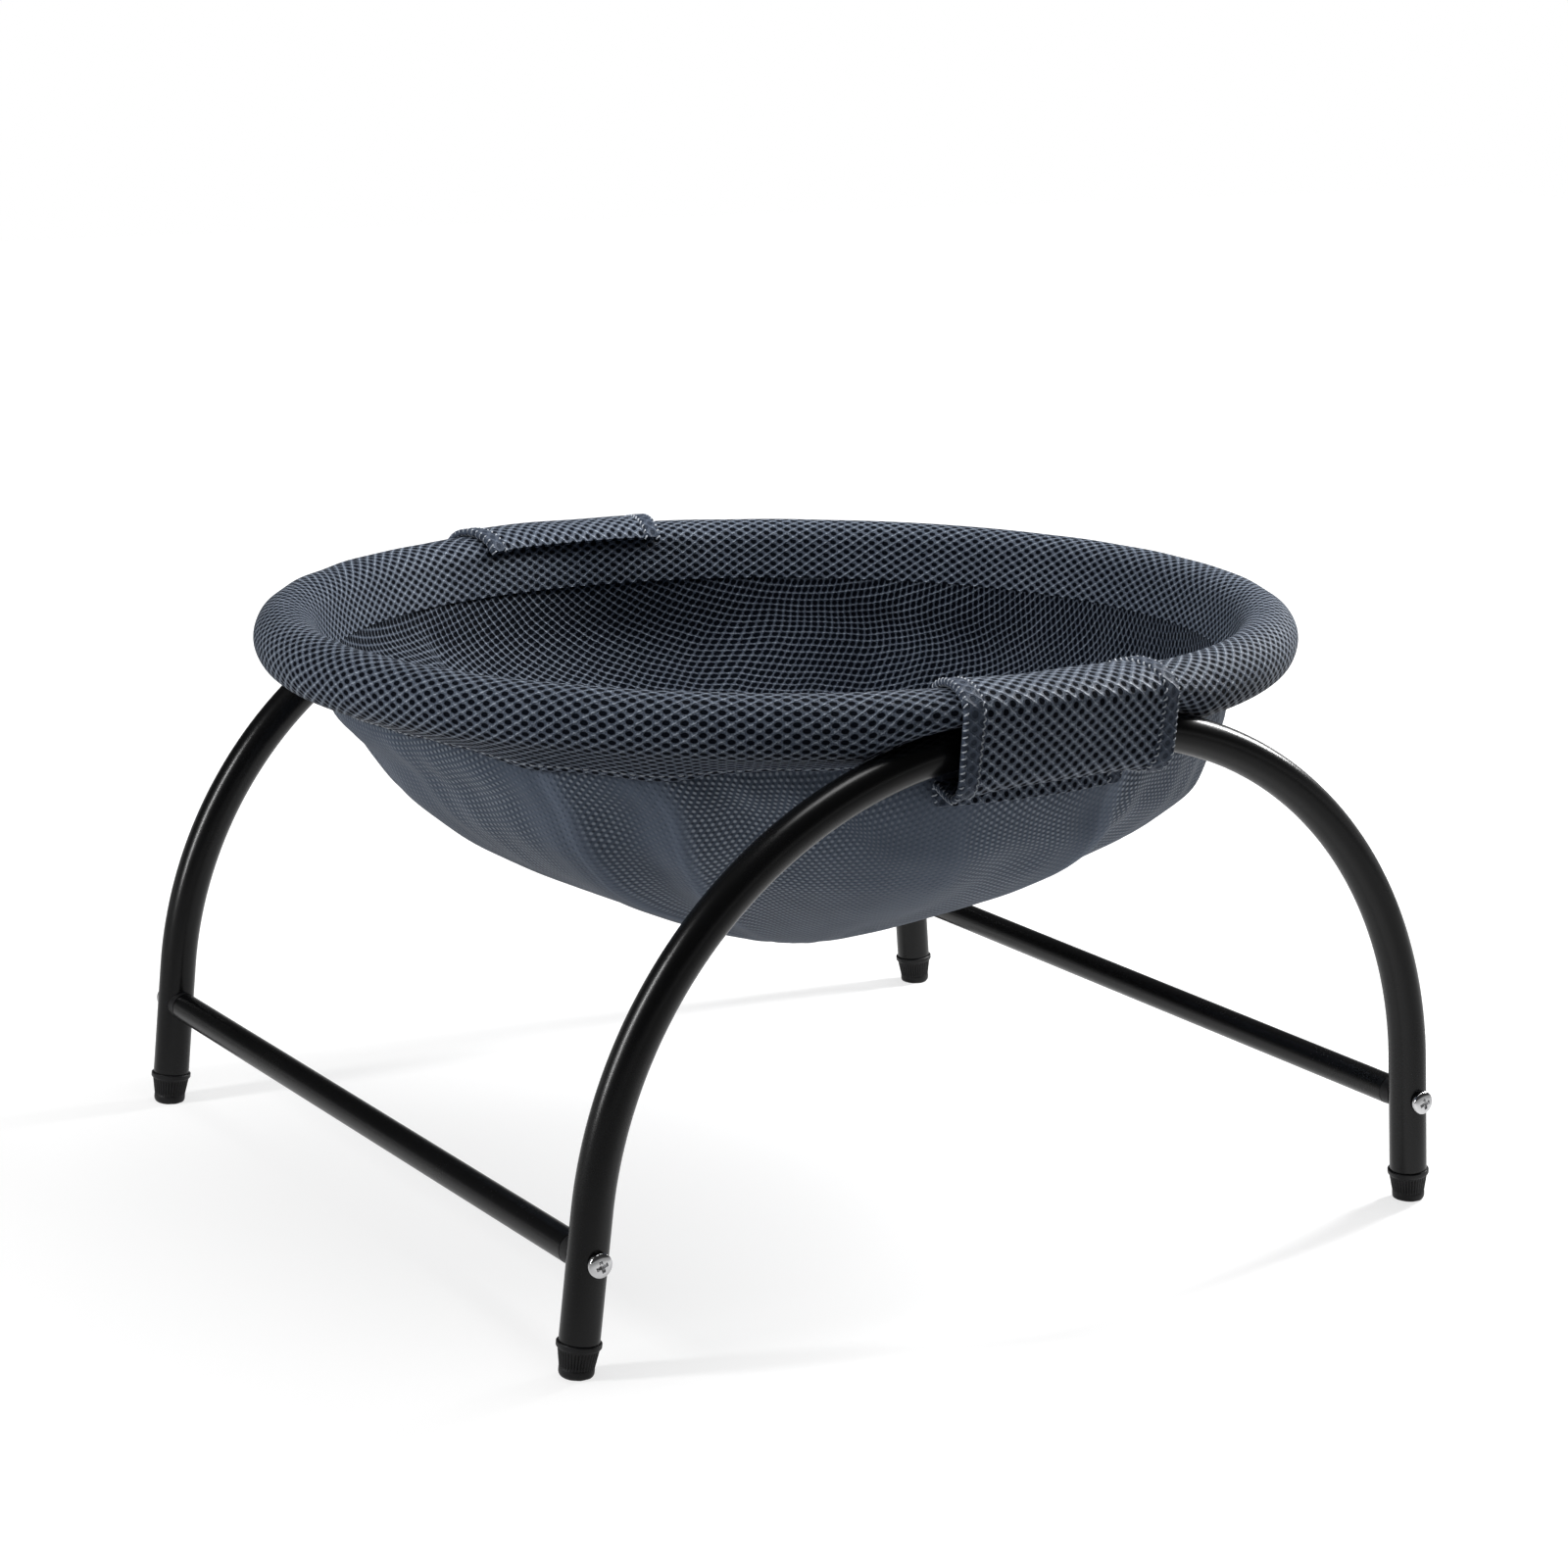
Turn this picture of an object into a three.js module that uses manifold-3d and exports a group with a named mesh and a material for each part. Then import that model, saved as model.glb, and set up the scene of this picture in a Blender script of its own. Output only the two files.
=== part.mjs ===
// Elevated pet cot: a round cloth bed on a padded hoop, strapped to the crowns of two bent tube arches.
// Millimetres, +Z up. X runs along the span of the arches and Y along the two cross bars.
// The origin lies on the floor under the middle of the bed, and the front of the cot faces -Y.
import * as THREE from "three";
import { mergeVertices } from "three/addons/utils/BufferGeometryUtils.js";
import Module from "manifold-3d";

const wasm = await Module();
wasm.setup();

const degrees = Math.PI / 180;
const fullTurn = 2 * Math.PI;
const quarterTurn = Math.PI / 2;

// Clearances and overruns
const seatGap = 0.3; // between two pieces that touch
const clothEase = 0.6; // between a strap and the padded rim that it goes round
const restGap = 1.3; // between the tube and the padded rim that rests on it
const tuckGap = 2.3; // between the tube and the skirt that hangs behind it
const foamPlay = 1.6; // between the foam and the cover pulled over it
const cutOverrun = 5; // how far a cutting solid runs past the piece that it cuts

// Arches
const tubeDiameter = 16;
const tubeWall = 1.2;
const archSpacing = 381; // between the two arches' centrelines, at the floor
const archHeight = 226.8; // floor to the crown's centreline
const crownFlat = 42; // straight length at the crown
const bendRadius = 180; // of the tube's centreline
const legSplay = 5.3 * degrees; // each leg spreads outward along X
const archLean = 0.75 * degrees; // each arch leans outward along Y
const bendSteps = 14; // facets along one bend
const tubeSides = 16;
const boreSides = 12;

// Cross bars
const barDiameter = 12.5;
const barWall = 1;
const barHeight = 46.4; // floor to the bar's centreline
const barSides = 16;

// Saddle plugs in the bars' ends
const saddleThickness = 2.5; // between the leg and the bar's end, at its thinnest
const plugStemLength = 16;
const plugStemGap = 0.5; // all round the stem, inside the bar
const plugSides = 12;

// Bolts and the threaded inserts that they hold in the plugs
const boltDiameter = 5;
const boltHole = 5.6;
const boltHeadDiameter = 10;
const boltHeadHeight = 3.2;
const boltReach = 14; // length of thread inside the bar
const recessWidth = 1.3; // of each arm of the cross recess
const recessSpan = 4.8;
const recessDepth = 1.9;
const boltSides = 12;
const insertDiameter = 7.4;
const insertLength = 7.5;

// Foot plugs
const footHeight = 14; // from the floor to the tube's end, along the leg
const footTopDiameter = 16.4;
const footBottomDiameter = 13;
const footCollar = 2.4; // straight collar under the tube's end
const footBottomRound = 2.2;
const footStemLength = 15;
const footBarbDepth = 0.5; // of the barb on the stem
const footFlutes = 16; // grip flutes down the tapered head
const footFluteWidth = 1.3;
const footFluteDepth = 0.4;

// Hoop, and the padded rim round it
const hoopLength = 431.4; // along X, between centrelines
const hoopWidth = 393.2; // along Y, between centrelines
const rimDiameter = 26.5;
const rimSettle = 13.15; // how deep the crowns press into the padded rim
const rimBulgeShare = 0.25; // of the height lost over an arch that the rim gains in half width
const ringStations = 56;
const stationCrowding = 0.25; // how much closer the stations lie over the arches
const hoopRodDiameter = 6;
const hoopRodSides = 6;
const hoopSegments = 4;
const spigotDiameter = 3.6;
const spigotLength = 12;
const foamBoreSides = 6;
const foamSides = 10;
const foamSlit = 1.2;

// Cloth
const coverThickness = 1.5;
const bowlThickness = 1.5;
const hemDrop = 19.7; // from the rim's centreline down to the cover's lower hem, between the bed's folds
const hemDip = 5.5; // how much lower the hem hangs at a fold
const wallInset = 16.5; // from the rim's centreline in to the bed's cloth wall
const wallDrop = 35; // from the rim's centreline down to where the wall curves in
const bowlDepth = 109; // from there down to the lowest point of the bed
const bowlProfileShares = [
  [0.96, 0.1],
  [0.88, 0.26],
  [0.75, 0.435],
  [0.6, 0.58],
  [0.44, 0.72],
  [0.27, 0.86],
  [0.12, 0.965],
];
const coverStart = 184 * degrees; // the cover starts on the rim's inner side
const coverArcPoints = 9;
const coverSkirtSteps = 2;

// Tension folds of the bed, which run from the rim down towards its lowest point
const foldDepth = 4.5;
const foldHalfWidth = 7.5 * degrees;
const foldAngles = [-147, -132, -92, -66, 33, 48, 88, 114].map((angle) => angle * degrees);
const foldDepthShares = [0.9, 1, 0.6, 1.35, 0.9, 1, 0.6, 1.35];
const foldFadePower = 0.6; // below one, the folds are deepest nearer the rim than the bottom

// Strap flaps, which wrap the rim and the arch's crown together
const flapWidth = 100;
const flapThickness = 2.4;
const flapStart = 162 * degrees; // the flap is sewn on at the rim's inner top
const foldGap = 0.8; // slit between the flap and its free end, which the real cloth bridges
const flapColumns = 7;
const flapArcPoints = 14;
const tailDrop = 39; // from the rim's centreline down to the free end's edge
const tailWallDrop = 28; // from the rim's centreline down to where the free end meets the wall
const tailPullPoints = 3;
const stripThickness = 1;
const stripWidth = 80;
const stripHeight = 10;
const stripColumns = 6;

// Sizes that follow from the ones above
const tubeRadius = tubeDiameter / 2;
const tubeBoreRadius = tubeRadius - tubeWall;
const barRadius = barDiameter / 2;
const barBoreRadius = barRadius - barWall;
const rimRadius = rimDiameter / 2;
const rimHeight = archHeight + tubeRadius + restGap + rimRadius - rimSettle; // away from the arches
const hoopRodRadius = hoopRodDiameter / 2;
const legTop = archHeight - bendRadius + bendRadius * Math.sin(legSplay);
const bendEnd = crownFlat / 2 + bendRadius * Math.cos(legSplay);
const footReach = bendEnd + legTop * Math.tan(legSplay);
const barReach = footReach - barHeight * Math.tan(legSplay);
const hemInset = wallInset - bowlThickness / 2 - seatGap - coverThickness / 2;
const tailInset =
  wallInset - bowlThickness / 2 - 2 * stripThickness - 3 * seatGap - flapThickness / 2;

// Materials
const paint = { color: 0x0c0d0f, roughness: 0.32, metalness: 0.1 };
const plastic = { color: 0x141416, roughness: 0.6, metalness: 0 };
const chrome = { color: 0xd6d8da, roughness: 0.15, metalness: 1 };
const brass = { color: 0xb08d4a, roughness: 0.35, metalness: 1 };
const steel = { color: 0x8d9094, roughness: 0.4, metalness: 1 };
const foam = { color: 0x3a3d42, roughness: 0.95, metalness: 0 };
const mesh = { color: 0x3d4756, roughness: 0.9, metalness: 0 };
const cloth = { color: 0x444c59, roughness: 0.92, metalness: 0 };
const tape = { color: 0x1d2129, roughness: 0.95, metalness: 0 };

const vector = (x, y, z) => new THREE.Vector3(x, y, z);

// A closed surface from a list of triangle corners, turned to face outward
function closedSurface(corners) {
  let volume = 0;
  for (let i = 0; i < corners.length; i += 3) {
    volume += corners[i].dot(corners[i + 1].clone().cross(corners[i + 2]));
  }
  if (volume < 0) corners.reverse();
  return new THREE.BufferGeometry().setFromPoints(corners);
}

// Skins a row of rings of points. A ring of one point is a pole, and joined makes the last ring meet the first.
function skin(rings, joined = false) {
  const corners = [];
  const corner = (ring, index) => ring[index % ring.length];
  const last = joined ? rings.length : rings.length - 1;
  for (let row = 0; row < last; row++) {
    const here = rings[row];
    const next = rings[(row + 1) % rings.length];
    const count = Math.max(here.length, next.length);
    for (let k = 0; k < count; k++) {
      if (here.length > 1) corners.push(corner(here, k), corner(here, k + 1), corner(next, k + 1));
      if (next.length > 1) corners.push(corner(here, k), corner(next, k + 1), corner(next, k));
    }
  }
  return closedSurface(corners);
}

// A cloth panel from two grids of points, its face and its back, closed along all four edges
function slab(face, back) {
  const corners = [];
  const quad = (a, b, c, d) => corners.push(a, b, c, a, c, d);
  const columns = face.length - 1;
  const rows = face[0].length - 1;
  for (let i = 0; i < columns; i++) {
    for (let j = 0; j < rows; j++) {
      quad(face[i][j], face[i + 1][j], face[i + 1][j + 1], face[i][j + 1]);
      quad(back[i][j], back[i][j + 1], back[i + 1][j + 1], back[i + 1][j]);
    }
    quad(face[i][0], back[i][0], back[i + 1][0], face[i + 1][0]);
    quad(face[i][rows], face[i + 1][rows], back[i + 1][rows], back[i][rows]);
  }
  for (let j = 0; j < rows; j++) {
    quad(face[0][j], face[0][j + 1], back[0][j + 1], back[0][j]);
    quad(face[columns][j + 1], face[columns][j], back[columns][j], back[columns][j + 1]);
  }
  return closedSurface(corners);
}

function solidOf(geometry) {
  const bare = geometry.clone();
  bare.deleteAttribute("normal");
  bare.deleteAttribute("uv");
  const merged = mergeVertices(bare);
  return new wasm.Manifold(
    new wasm.Mesh({
      numProp: 3,
      vertProperties: merged.getAttribute("position").array,
      triVerts: new Uint32Array(merged.index.array),
    }),
  );
}

// Cuts every tool out of a geometry
function cut(geometry, ...tools) {
  const left = tools.reduce((solid, tool) => solid.subtract(solidOf(tool)), solidOf(geometry));
  const { vertProperties, triVerts } = left.getMesh();
  return new THREE.BufferGeometry()
    .setAttribute("position", new THREE.BufferAttribute(vertProperties, 3))
    .setIndex(new THREE.BufferAttribute(triVerts, 1));
}

const turned = (profile, sides) =>
  new THREE.LatheGeometry(
    profile.map(([radius, height]) => new THREE.Vector2(radius, height)),
    sides,
  );

const cylinder = (radius, length, sides) => new THREE.CylinderGeometry(radius, radius, length, sides);

function piece(name, geometry, look) {
  const made = new THREE.Mesh(geometry, new THREE.MeshStandardMaterial(look));
  made.name = name;
  return made;
}

// The arch's centreline in its own plane, from the left foot to the right
function archLine(footLength) {
  const footX = footReach - footLength * Math.sin(legSplay);
  const footZ = footLength * Math.cos(legSplay);
  const bendCentre = archHeight - bendRadius;
  const line = new THREE.Path();
  line.absarc(-crownFlat / 2, bendCentre, bendRadius, Math.PI - legSplay, quarterTurn, true);
  line.absarc(crownFlat / 2, bendCentre, bendRadius, quarterTurn, legSplay, true);
  line.lineTo(footX, footZ);
  const leftLeg = new THREE.LineCurve(new THREE.Vector2(-footX, footZ), line.curves[0].getPoint(0));
  line.curves.unshift(leftLeg);
  return line;
}

// A solid rod of round section along a line in the XZ plane
function bentRod(line, radius, sides) {
  const rings = [];
  line.curves.forEach((curve, index) => {
    const facets = curve.isEllipseCurve ? bendSteps : 1;
    for (let facet = index ? 1 : 0; facet <= facets; facet++) {
      const point = curve.getPoint(facet / facets);
      const along = curve.getTangent(facet / facets);
      const ring = [];
      for (let k = 0; k < sides; k++) {
        const angle = (k / sides) * fullTurn;
        const inPlane = radius * Math.cos(angle);
        ring.push(
          vector(point.x - along.y * inPlane, radius * Math.sin(angle), point.y + along.x * inPlane),
        );
      }
      rings.push(ring);
    }
  });
  const start = line.getPoint(0);
  const end = line.getPoint(1);
  return skin([[vector(start.x, 0, start.y)], ...rings, [vector(end.x, 0, end.y)]]);
}

// Height of the arch's centreline above the floor at x, or zero past its bends
function crownHeight(x) {
  const past = Math.max(Math.abs(x) - crownFlat / 2, 0);
  return past < bendRadius ? archHeight - bendRadius + Math.sqrt(bendRadius ** 2 - past ** 2) : 0;
}

function archTube() {
  const holes = [-1, 1].map((side) =>
    cylinder(boltHole / 2, tubeDiameter + cutOverrun, plugSides).translate(side * barReach, 0, barHeight),
  );
  return cut(
    bentRod(archLine(footHeight), tubeRadius, tubeSides),
    bentRod(archLine(footHeight - cutOverrun), tubeBoreRadius, boreSides),
    ...holes,
  );
}

// The plug's axis is Y, with the leg's centreline at zero and the bar on the +Y side
const plugSeat = tubeRadius + seatGap + saddleThickness;
const plugEnd = plugSeat + plugStemLength;

function saddlePlug(side) {
  const bore = boltHole / 2;
  const stem = barBoreRadius - plugStemGap;
  const pocket = insertDiameter / 2 + seatGap;
  const pocketFloor = plugEnd - insertLength - seatGap;
  const body = turned(
    [
      [bore, 0],
      [barRadius, 0],
      [barRadius, plugSeat],
      [stem, plugSeat],
      [stem, plugEnd],
      [pocket, plugEnd],
      [pocket, pocketFloor],
      [bore, pocketFloor],
      [bore, 0],
    ],
    plugSides,
  );
  const leg = cylinder(tubeRadius + seatGap, 2 * (barDiameter + cutOverrun), 2 * tubeSides)
    .rotateX(quarterTurn)
    .rotateY(-side * legSplay);
  return cut(body, leg);
}

function threadedInsert() {
  const bore = boltHole / 2;
  const outside = insertDiameter / 2;
  const start = plugEnd - insertLength;
  return turned(
    [
      [bore, start],
      [outside, start],
      [outside, plugEnd],
      [bore, plugEnd],
      [bore, start],
    ],
    plugSides,
  );
}

// A pan-head bolt with a cross recess, its head on the -Y side of the leg
function bolt() {
  const crownSteps = 3;
  const seat = -tubeRadius - seatGap;
  const crown = boltHeadHeight / 2;
  const profile = [];
  for (let step = 0; step <= crownSteps; step++) {
    const angle = (step / crownSteps) * quarterTurn;
    profile.push([(boltHeadDiameter / 2) * Math.sin(angle), seat - crown - crown * Math.cos(angle)]);
  }
  profile.push([boltHeadDiameter / 2, seat], [boltDiameter / 2, seat]);
  profile.push([boltDiameter / 2, plugSeat + boltReach], [0, plugSeat + boltReach]);
  const arms = [0, quarterTurn].map((turn) =>
    new THREE.BoxGeometry(recessWidth, 2 * recessDepth, recessSpan)
      .rotateY(turn)
      .translate(0, seat - boltHeadHeight, 0),
  );
  return cut(turned(profile, boltSides), ...arms);
}

// The foot plug's axis is Y, from the floor up into the tube's end
function footPlug() {
  const top = footTopDiameter / 2;
  const bottom = footBottomDiameter / 2;
  const sole = -bottom * Math.tan(legSplay);
  const collar = footHeight - footCollar;
  const shoulder = footHeight - seatGap;
  const stem = tubeBoreRadius * Math.cos(Math.PI / boreSides) - seatGap;
  const profile = [[0, sole]];
  const roundSteps = 2;
  for (let step = 0; step <= roundSteps; step++) {
    const angle = (step / roundSteps) * quarterTurn;
    profile.push([
      bottom - footBottomRound * (1 - Math.sin(angle)),
      sole + footBottomRound * (1 - Math.cos(angle)),
    ]);
  }
  const barbShare = 0.45;
  profile.push([top, collar], [top, shoulder], [stem - footBarbDepth, shoulder]);
  profile.push([stem - footBarbDepth, footHeight + footStemLength * barbShare]);
  profile.push([stem, footHeight + footStemLength * barbShare]);
  profile.push([stem - footBarbDepth, footHeight + footStemLength], [0, footHeight + footStemLength]);
  const taperStart = sole + footBottomRound;
  const taperSlope = Math.atan2(top - bottom, collar - taperStart);
  const flat = ((top + bottom) / 2) * Math.cos(Math.PI / footFlutes);
  const flutes = Array.from({ length: footFlutes }, (_, index) =>
    new THREE.BoxGeometry(footFluteWidth, collar - taperStart, 2 * footFluteDepth)
      .rotateX(taperSlope)
      .translate(0, (collar + taperStart) / 2, flat)
      .rotateY(((index + 0.5) / footFlutes) * fullTurn),
  );
  return cut(turned(profile, footFlutes), ...flutes);
}

// One arch with its foot plugs, bolts and saddle plugs, in the arch's own plane with the bars on its +Y side
function archAssembly(end, sides) {
  const arch = new THREE.Group();
  arch.position.y = -archSpacing / 2;
  arch.rotation.x = archLean;
  arch.updateMatrix();
  arch.add(piece(end + "_arch_tube", archTube(), paint));
  const floor = new THREE.BoxGeometry(2 * tubeDiameter, 2 * tubeDiameter, cutOverrun);
  floor.translate(0, -archSpacing / 2, -cutOverrun / 2);
  const underFloor = arch.matrix.clone().invert();
  for (const [side, label] of sides) {
    const foot = footPlug()
      .rotateX(quarterTurn)
      .rotateY(-side * legSplay)
      .translate(side * footReach, 0, 0);
    const sole = floor.clone().translate(side * footReach, 0, 0).applyMatrix4(underFloor);
    arch.add(piece(`${end}_${label}_foot_plug`, cut(foot, sole), plastic));
    const joint = new THREE.Group();
    joint.position.set(side * barReach, 0, barHeight);
    joint.add(
      piece(`${end}_${label}_bolt`, bolt(), chrome),
      piece(`${end}_${label}_saddle_plug`, saddlePlug(side), plastic),
      piece(`${end}_${label}_threaded_insert`, threadedInsert(), brass),
    );
    arch.add(joint);
  }
  return arch;
}

function crossBar(side, label) {
  const halfLength = archSpacing / 2 + barHeight * Math.tan(archLean) - plugSeat - seatGap;
  const bar = turned(
    [
      [barBoreRadius, -halfLength],
      [barRadius, -halfLength],
      [barRadius, halfLength],
      [barBoreRadius, halfLength],
      [barBoreRadius, -halfLength],
    ],
    barSides,
  );
  const made = piece(label + "_cross_bar", bar, paint);
  made.position.set(side * barReach, 0, barHeight);
  return made;
}

// A cross section of the rim at an angle round the hoop. Sections are drawn in p, outward from the hoop's
// centreline, and q, up from it. Over an arch the padded rim rests on the tube and is pressed into an oval.
function rimSection(angle) {
  const halfLength = hoopLength / 2;
  const halfWidth = hoopWidth / 2;
  const centre = vector(halfLength * Math.cos(angle), halfWidth * Math.sin(angle), rimHeight);
  const outward = vector(Math.cos(angle) / halfLength, Math.sin(angle) / halfWidth, 0).normalize();
  const lean = crownHeight(centre.x) * Math.tan(archLean);
  const tubeP = (archSpacing / 2 + lean - Math.abs(centre.y)) / Math.abs(outward.y);
  const tubeQ = crownHeight(centre.x + tubeP * outward.x) - rimHeight;
  const reach = (tubeRadius + restGap + rimRadius) ** 2 - tubeP ** 2;
  const resting = reach > 0 ? tubeQ + Math.sqrt(reach) - rimRadius : -rimRadius;
  const low = Math.max(resting, -rimRadius);
  const tall = (rimRadius - low) / 2;
  const wide = rimRadius + (rimRadius - tall) * rimBulgeShare;
  const middle = (rimRadius + low) / 2;
  const normalAt = (turn) => {
    const normal = [tall * Math.cos(turn), wide * Math.sin(turn)];
    return normal.map((part) => part / Math.hypot(...normal));
  };
  return {
    angle,
    outward,
    tube: { p: tubeP, q: tubeQ },
    middle,
    wide,
    place: ([p, q]) => centre.clone().addScaledVector(outward, p).setZ(rimHeight + q),
    rim(turn, offset) {
      const [normalP, normalQ] = normalAt(turn);
      return [
        wide * Math.cos(turn) + offset * normalP,
        middle + tall * Math.sin(turn) + offset * normalQ,
      ];
    },
    normalAt,
    facing: (direction) => Math.atan2(tall * Math.sin(direction), wide * Math.cos(direction)),
    aroundTube: (turn, offset) => [
      tubeP + (tubeRadius + offset) * Math.cos(turn),
      tubeQ + (tubeRadius + offset) * Math.sin(turn),
    ],
  };
}

const stationAngles = Array.from({ length: ringStations }, (_, index) => {
  const turn = (index / ringStations) * fullTurn;
  return turn + (stationCrowding * Math.sin(2 * turn)) / 2;
});

// The two sides of a path of p, q points thickened by half the thickness each way
function ribbon(path, thickness) {
  const unit = ([ax, ay], [bx, by]) => {
    const length = Math.hypot(bx - ax, by - ay);
    return [(bx - ax) / length, (by - ay) / length];
  };
  const sides = { face: [], back: [], normals: [] };
  path.forEach((point, index) => {
    const before = unit(path[Math.max(index - 1, 0)], path[Math.max(index, 1)]);
    const afterStart = Math.min(index, path.length - 2);
    const after = unit(path[afterStart], path[afterStart + 1]);
    const sum = [before[0] + after[0], before[1] + after[1]];
    const size = Math.hypot(...sum);
    const miter = thickness / size;
    const normal = [-sum[1] / size, sum[0] / size];
    sides.normals.push(normal);
    sides.face.push([point[0] - sum[1] * (miter / size), point[1] + sum[0] * (miter / size)]);
    sides.back.push([point[0] + sum[1] * (miter / size), point[1] - sum[0] * (miter / size)]);
  });
  return sides;
}

const steps = (count, first, last) =>
  Array.from({ length: count }, (_, index) => first + ((last - first) * index) / (count - 1));

const between = (from, to, share) => from.map((part, axis) => part + (to[axis] - part) * share);

function distanceToSegment([px, py], [ax, ay], [bx, by]) {
  const along = ((px - ax) * (bx - ax) + (py - ay) * (by - ay)) / ((bx - ax) ** 2 + (by - ay) ** 2);
  const share = Math.min(Math.max(along, 0), 1);
  return Math.hypot(px - ax - share * (bx - ax), py - ay - share * (by - ay));
}

// How strongly the tension folds show at an angle round the bed
function foldStrength(angle) {
  return foldAngles.reduce((sum, foldAngle, index) => {
    const away = Math.atan2(Math.sin(angle - foldAngle), Math.cos(angle - foldAngle));
    return sum + foldDepthShares[index] * Math.exp(-((away / foldHalfWidth) ** 2));
  }, 0);
}

const coverMiddle = -coverThickness / 2;

// How far round the rim the cover leaves it, so that its skirt runs straight to the hem behind the tube
function leavingTurn(section, hem) {
  const tube = [section.tube.p, section.tube.q];
  const clear = tubeRadius + tuckGap + coverThickness / 2;
  for (let turn = 0; turn > -Math.PI; turn -= degrees) {
    const start = section.rim(turn, coverMiddle);
    const [normalP, normalQ] = section.normalAt(turn);
    const ahead = (hem[0] - start[0]) * normalP + (hem[1] - start[1]) * normalQ;
    if (ahead >= 0 && distanceToSegment(tube, start, hem) >= clear) return turn;
  }
  return -Math.PI;
}

// The cover's path: round the rim from its inner side, and down to the hem
function coverPath(section) {
  const hem = [-hemInset, -hemDrop - hemDip * foldStrength(section.angle)];
  const leaving = leavingTurn(section, hem);
  const path = steps(coverArcPoints, coverStart, leaving).map((turn) => section.rim(turn, coverMiddle));
  const leave = path[path.length - 1];
  for (let step = 1; step <= coverSkirtSteps; step++) {
    path.push(between(leave, hem, step / coverSkirtSteps));
  }
  return path;
}

function rimCover() {
  const rings = stationAngles.map(rimSection).map((section) => {
    const { face, back } = ribbon(coverPath(section), coverThickness);
    return [...face, ...back.reverse()].map(section.place);
  });
  return skin(rings, true);
}

// A foam sleeve round the hoop, slit along its inner side
function rimFoam() {
  const offset = -coverThickness - foamPlay;
  const bore = (hoopRodRadius + seatGap) / Math.cos(Math.PI / foamBoreSides);
  const flat = bore * Math.cos(Math.PI / foamBoreSides);
  const rings = stationAngles.map(rimSection).map((section) => {
    const { middle } = section;
    const ring = [[-section.wide - offset, middle + foamSlit / 2]];
    for (let k = 1; k < foamSides; k++) {
      ring.push(section.rim(Math.PI - (k / foamSides) * fullTurn, offset));
    }
    ring.push([-section.wide - offset, middle - foamSlit / 2], [-flat, middle - foamSlit / 2]);
    for (let k = 0; k < foamBoreSides; k++) {
      const turn = -Math.PI + ((k + 0.5) / foamBoreSides) * fullTurn;
      ring.push([bore * Math.cos(turn), middle + bore * Math.sin(turn)]);
    }
    ring.push([-flat, middle + foamSlit / 2]);
    return ring.map(section.place);
  });
  return skin(rings, true);
}

// A point on the hoop's centreline, at a station number that may lie between two stations
function onHoop(number, p, q) {
  const at = (index) => {
    const section = rimSection(stationAngles[((index % ringStations) + ringStations) % ringStations]);
    return section.place([p, section.middle + q]);
  };
  const whole = Math.floor(number);
  return at(whole).lerp(at(whole + 1), number - whole);
}

// One rod of the hoop: a bore at its start takes the spigot at the end of the rod before it
function hoopRod(index) {
  const length = ringStations / hoopSegments;
  const first = length * (index + 0.5);
  const last = first + length;
  const ring = (number, radius) =>
    Array.from({ length: hoopRodSides }, (_, k) => {
      const turn = ((k + 0.5) / hoopRodSides) * fullTurn;
      return onHoop(number, radius * Math.cos(turn), radius * Math.sin(turn));
    });
  const stationLength = (number) => onHoop(number, 0, 0).distanceTo(onHoop(number + 1, 0, 0));
  const shares = (number, distance) => number + distance / stationLength(number);
  const boreRadius = spigotDiameter / 2 + seatGap;
  const boreFloor = shares(first, spigotLength + seatGap);
  const rings = [[onHoop(boreFloor, 0, 0)], ring(boreFloor, boreRadius), ring(first, boreRadius)];
  for (let number = first; number < last; number++) rings.push(ring(number, hoopRodRadius));
  const end = last - seatGap / stationLength(last - 1);
  rings.push(ring(end, hoopRodRadius), ring(end, spigotDiameter / 2));
  rings.push(ring(last, spigotDiameter / 2));
  const tip = shares(last, spigotLength);
  rings.push(ring(tip, spigotDiameter / 2), [onHoop(tip, 0, 0)]);
  return skin(rings);
}

// How far the cloth stands out in a fold, which fades towards rim and bottom
const foldHeight = (angle, radiusShare) =>
  foldDepth * foldStrength(angle) * Math.sin(Math.PI * (1 - radiusShare) ** foldFadePower);

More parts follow.
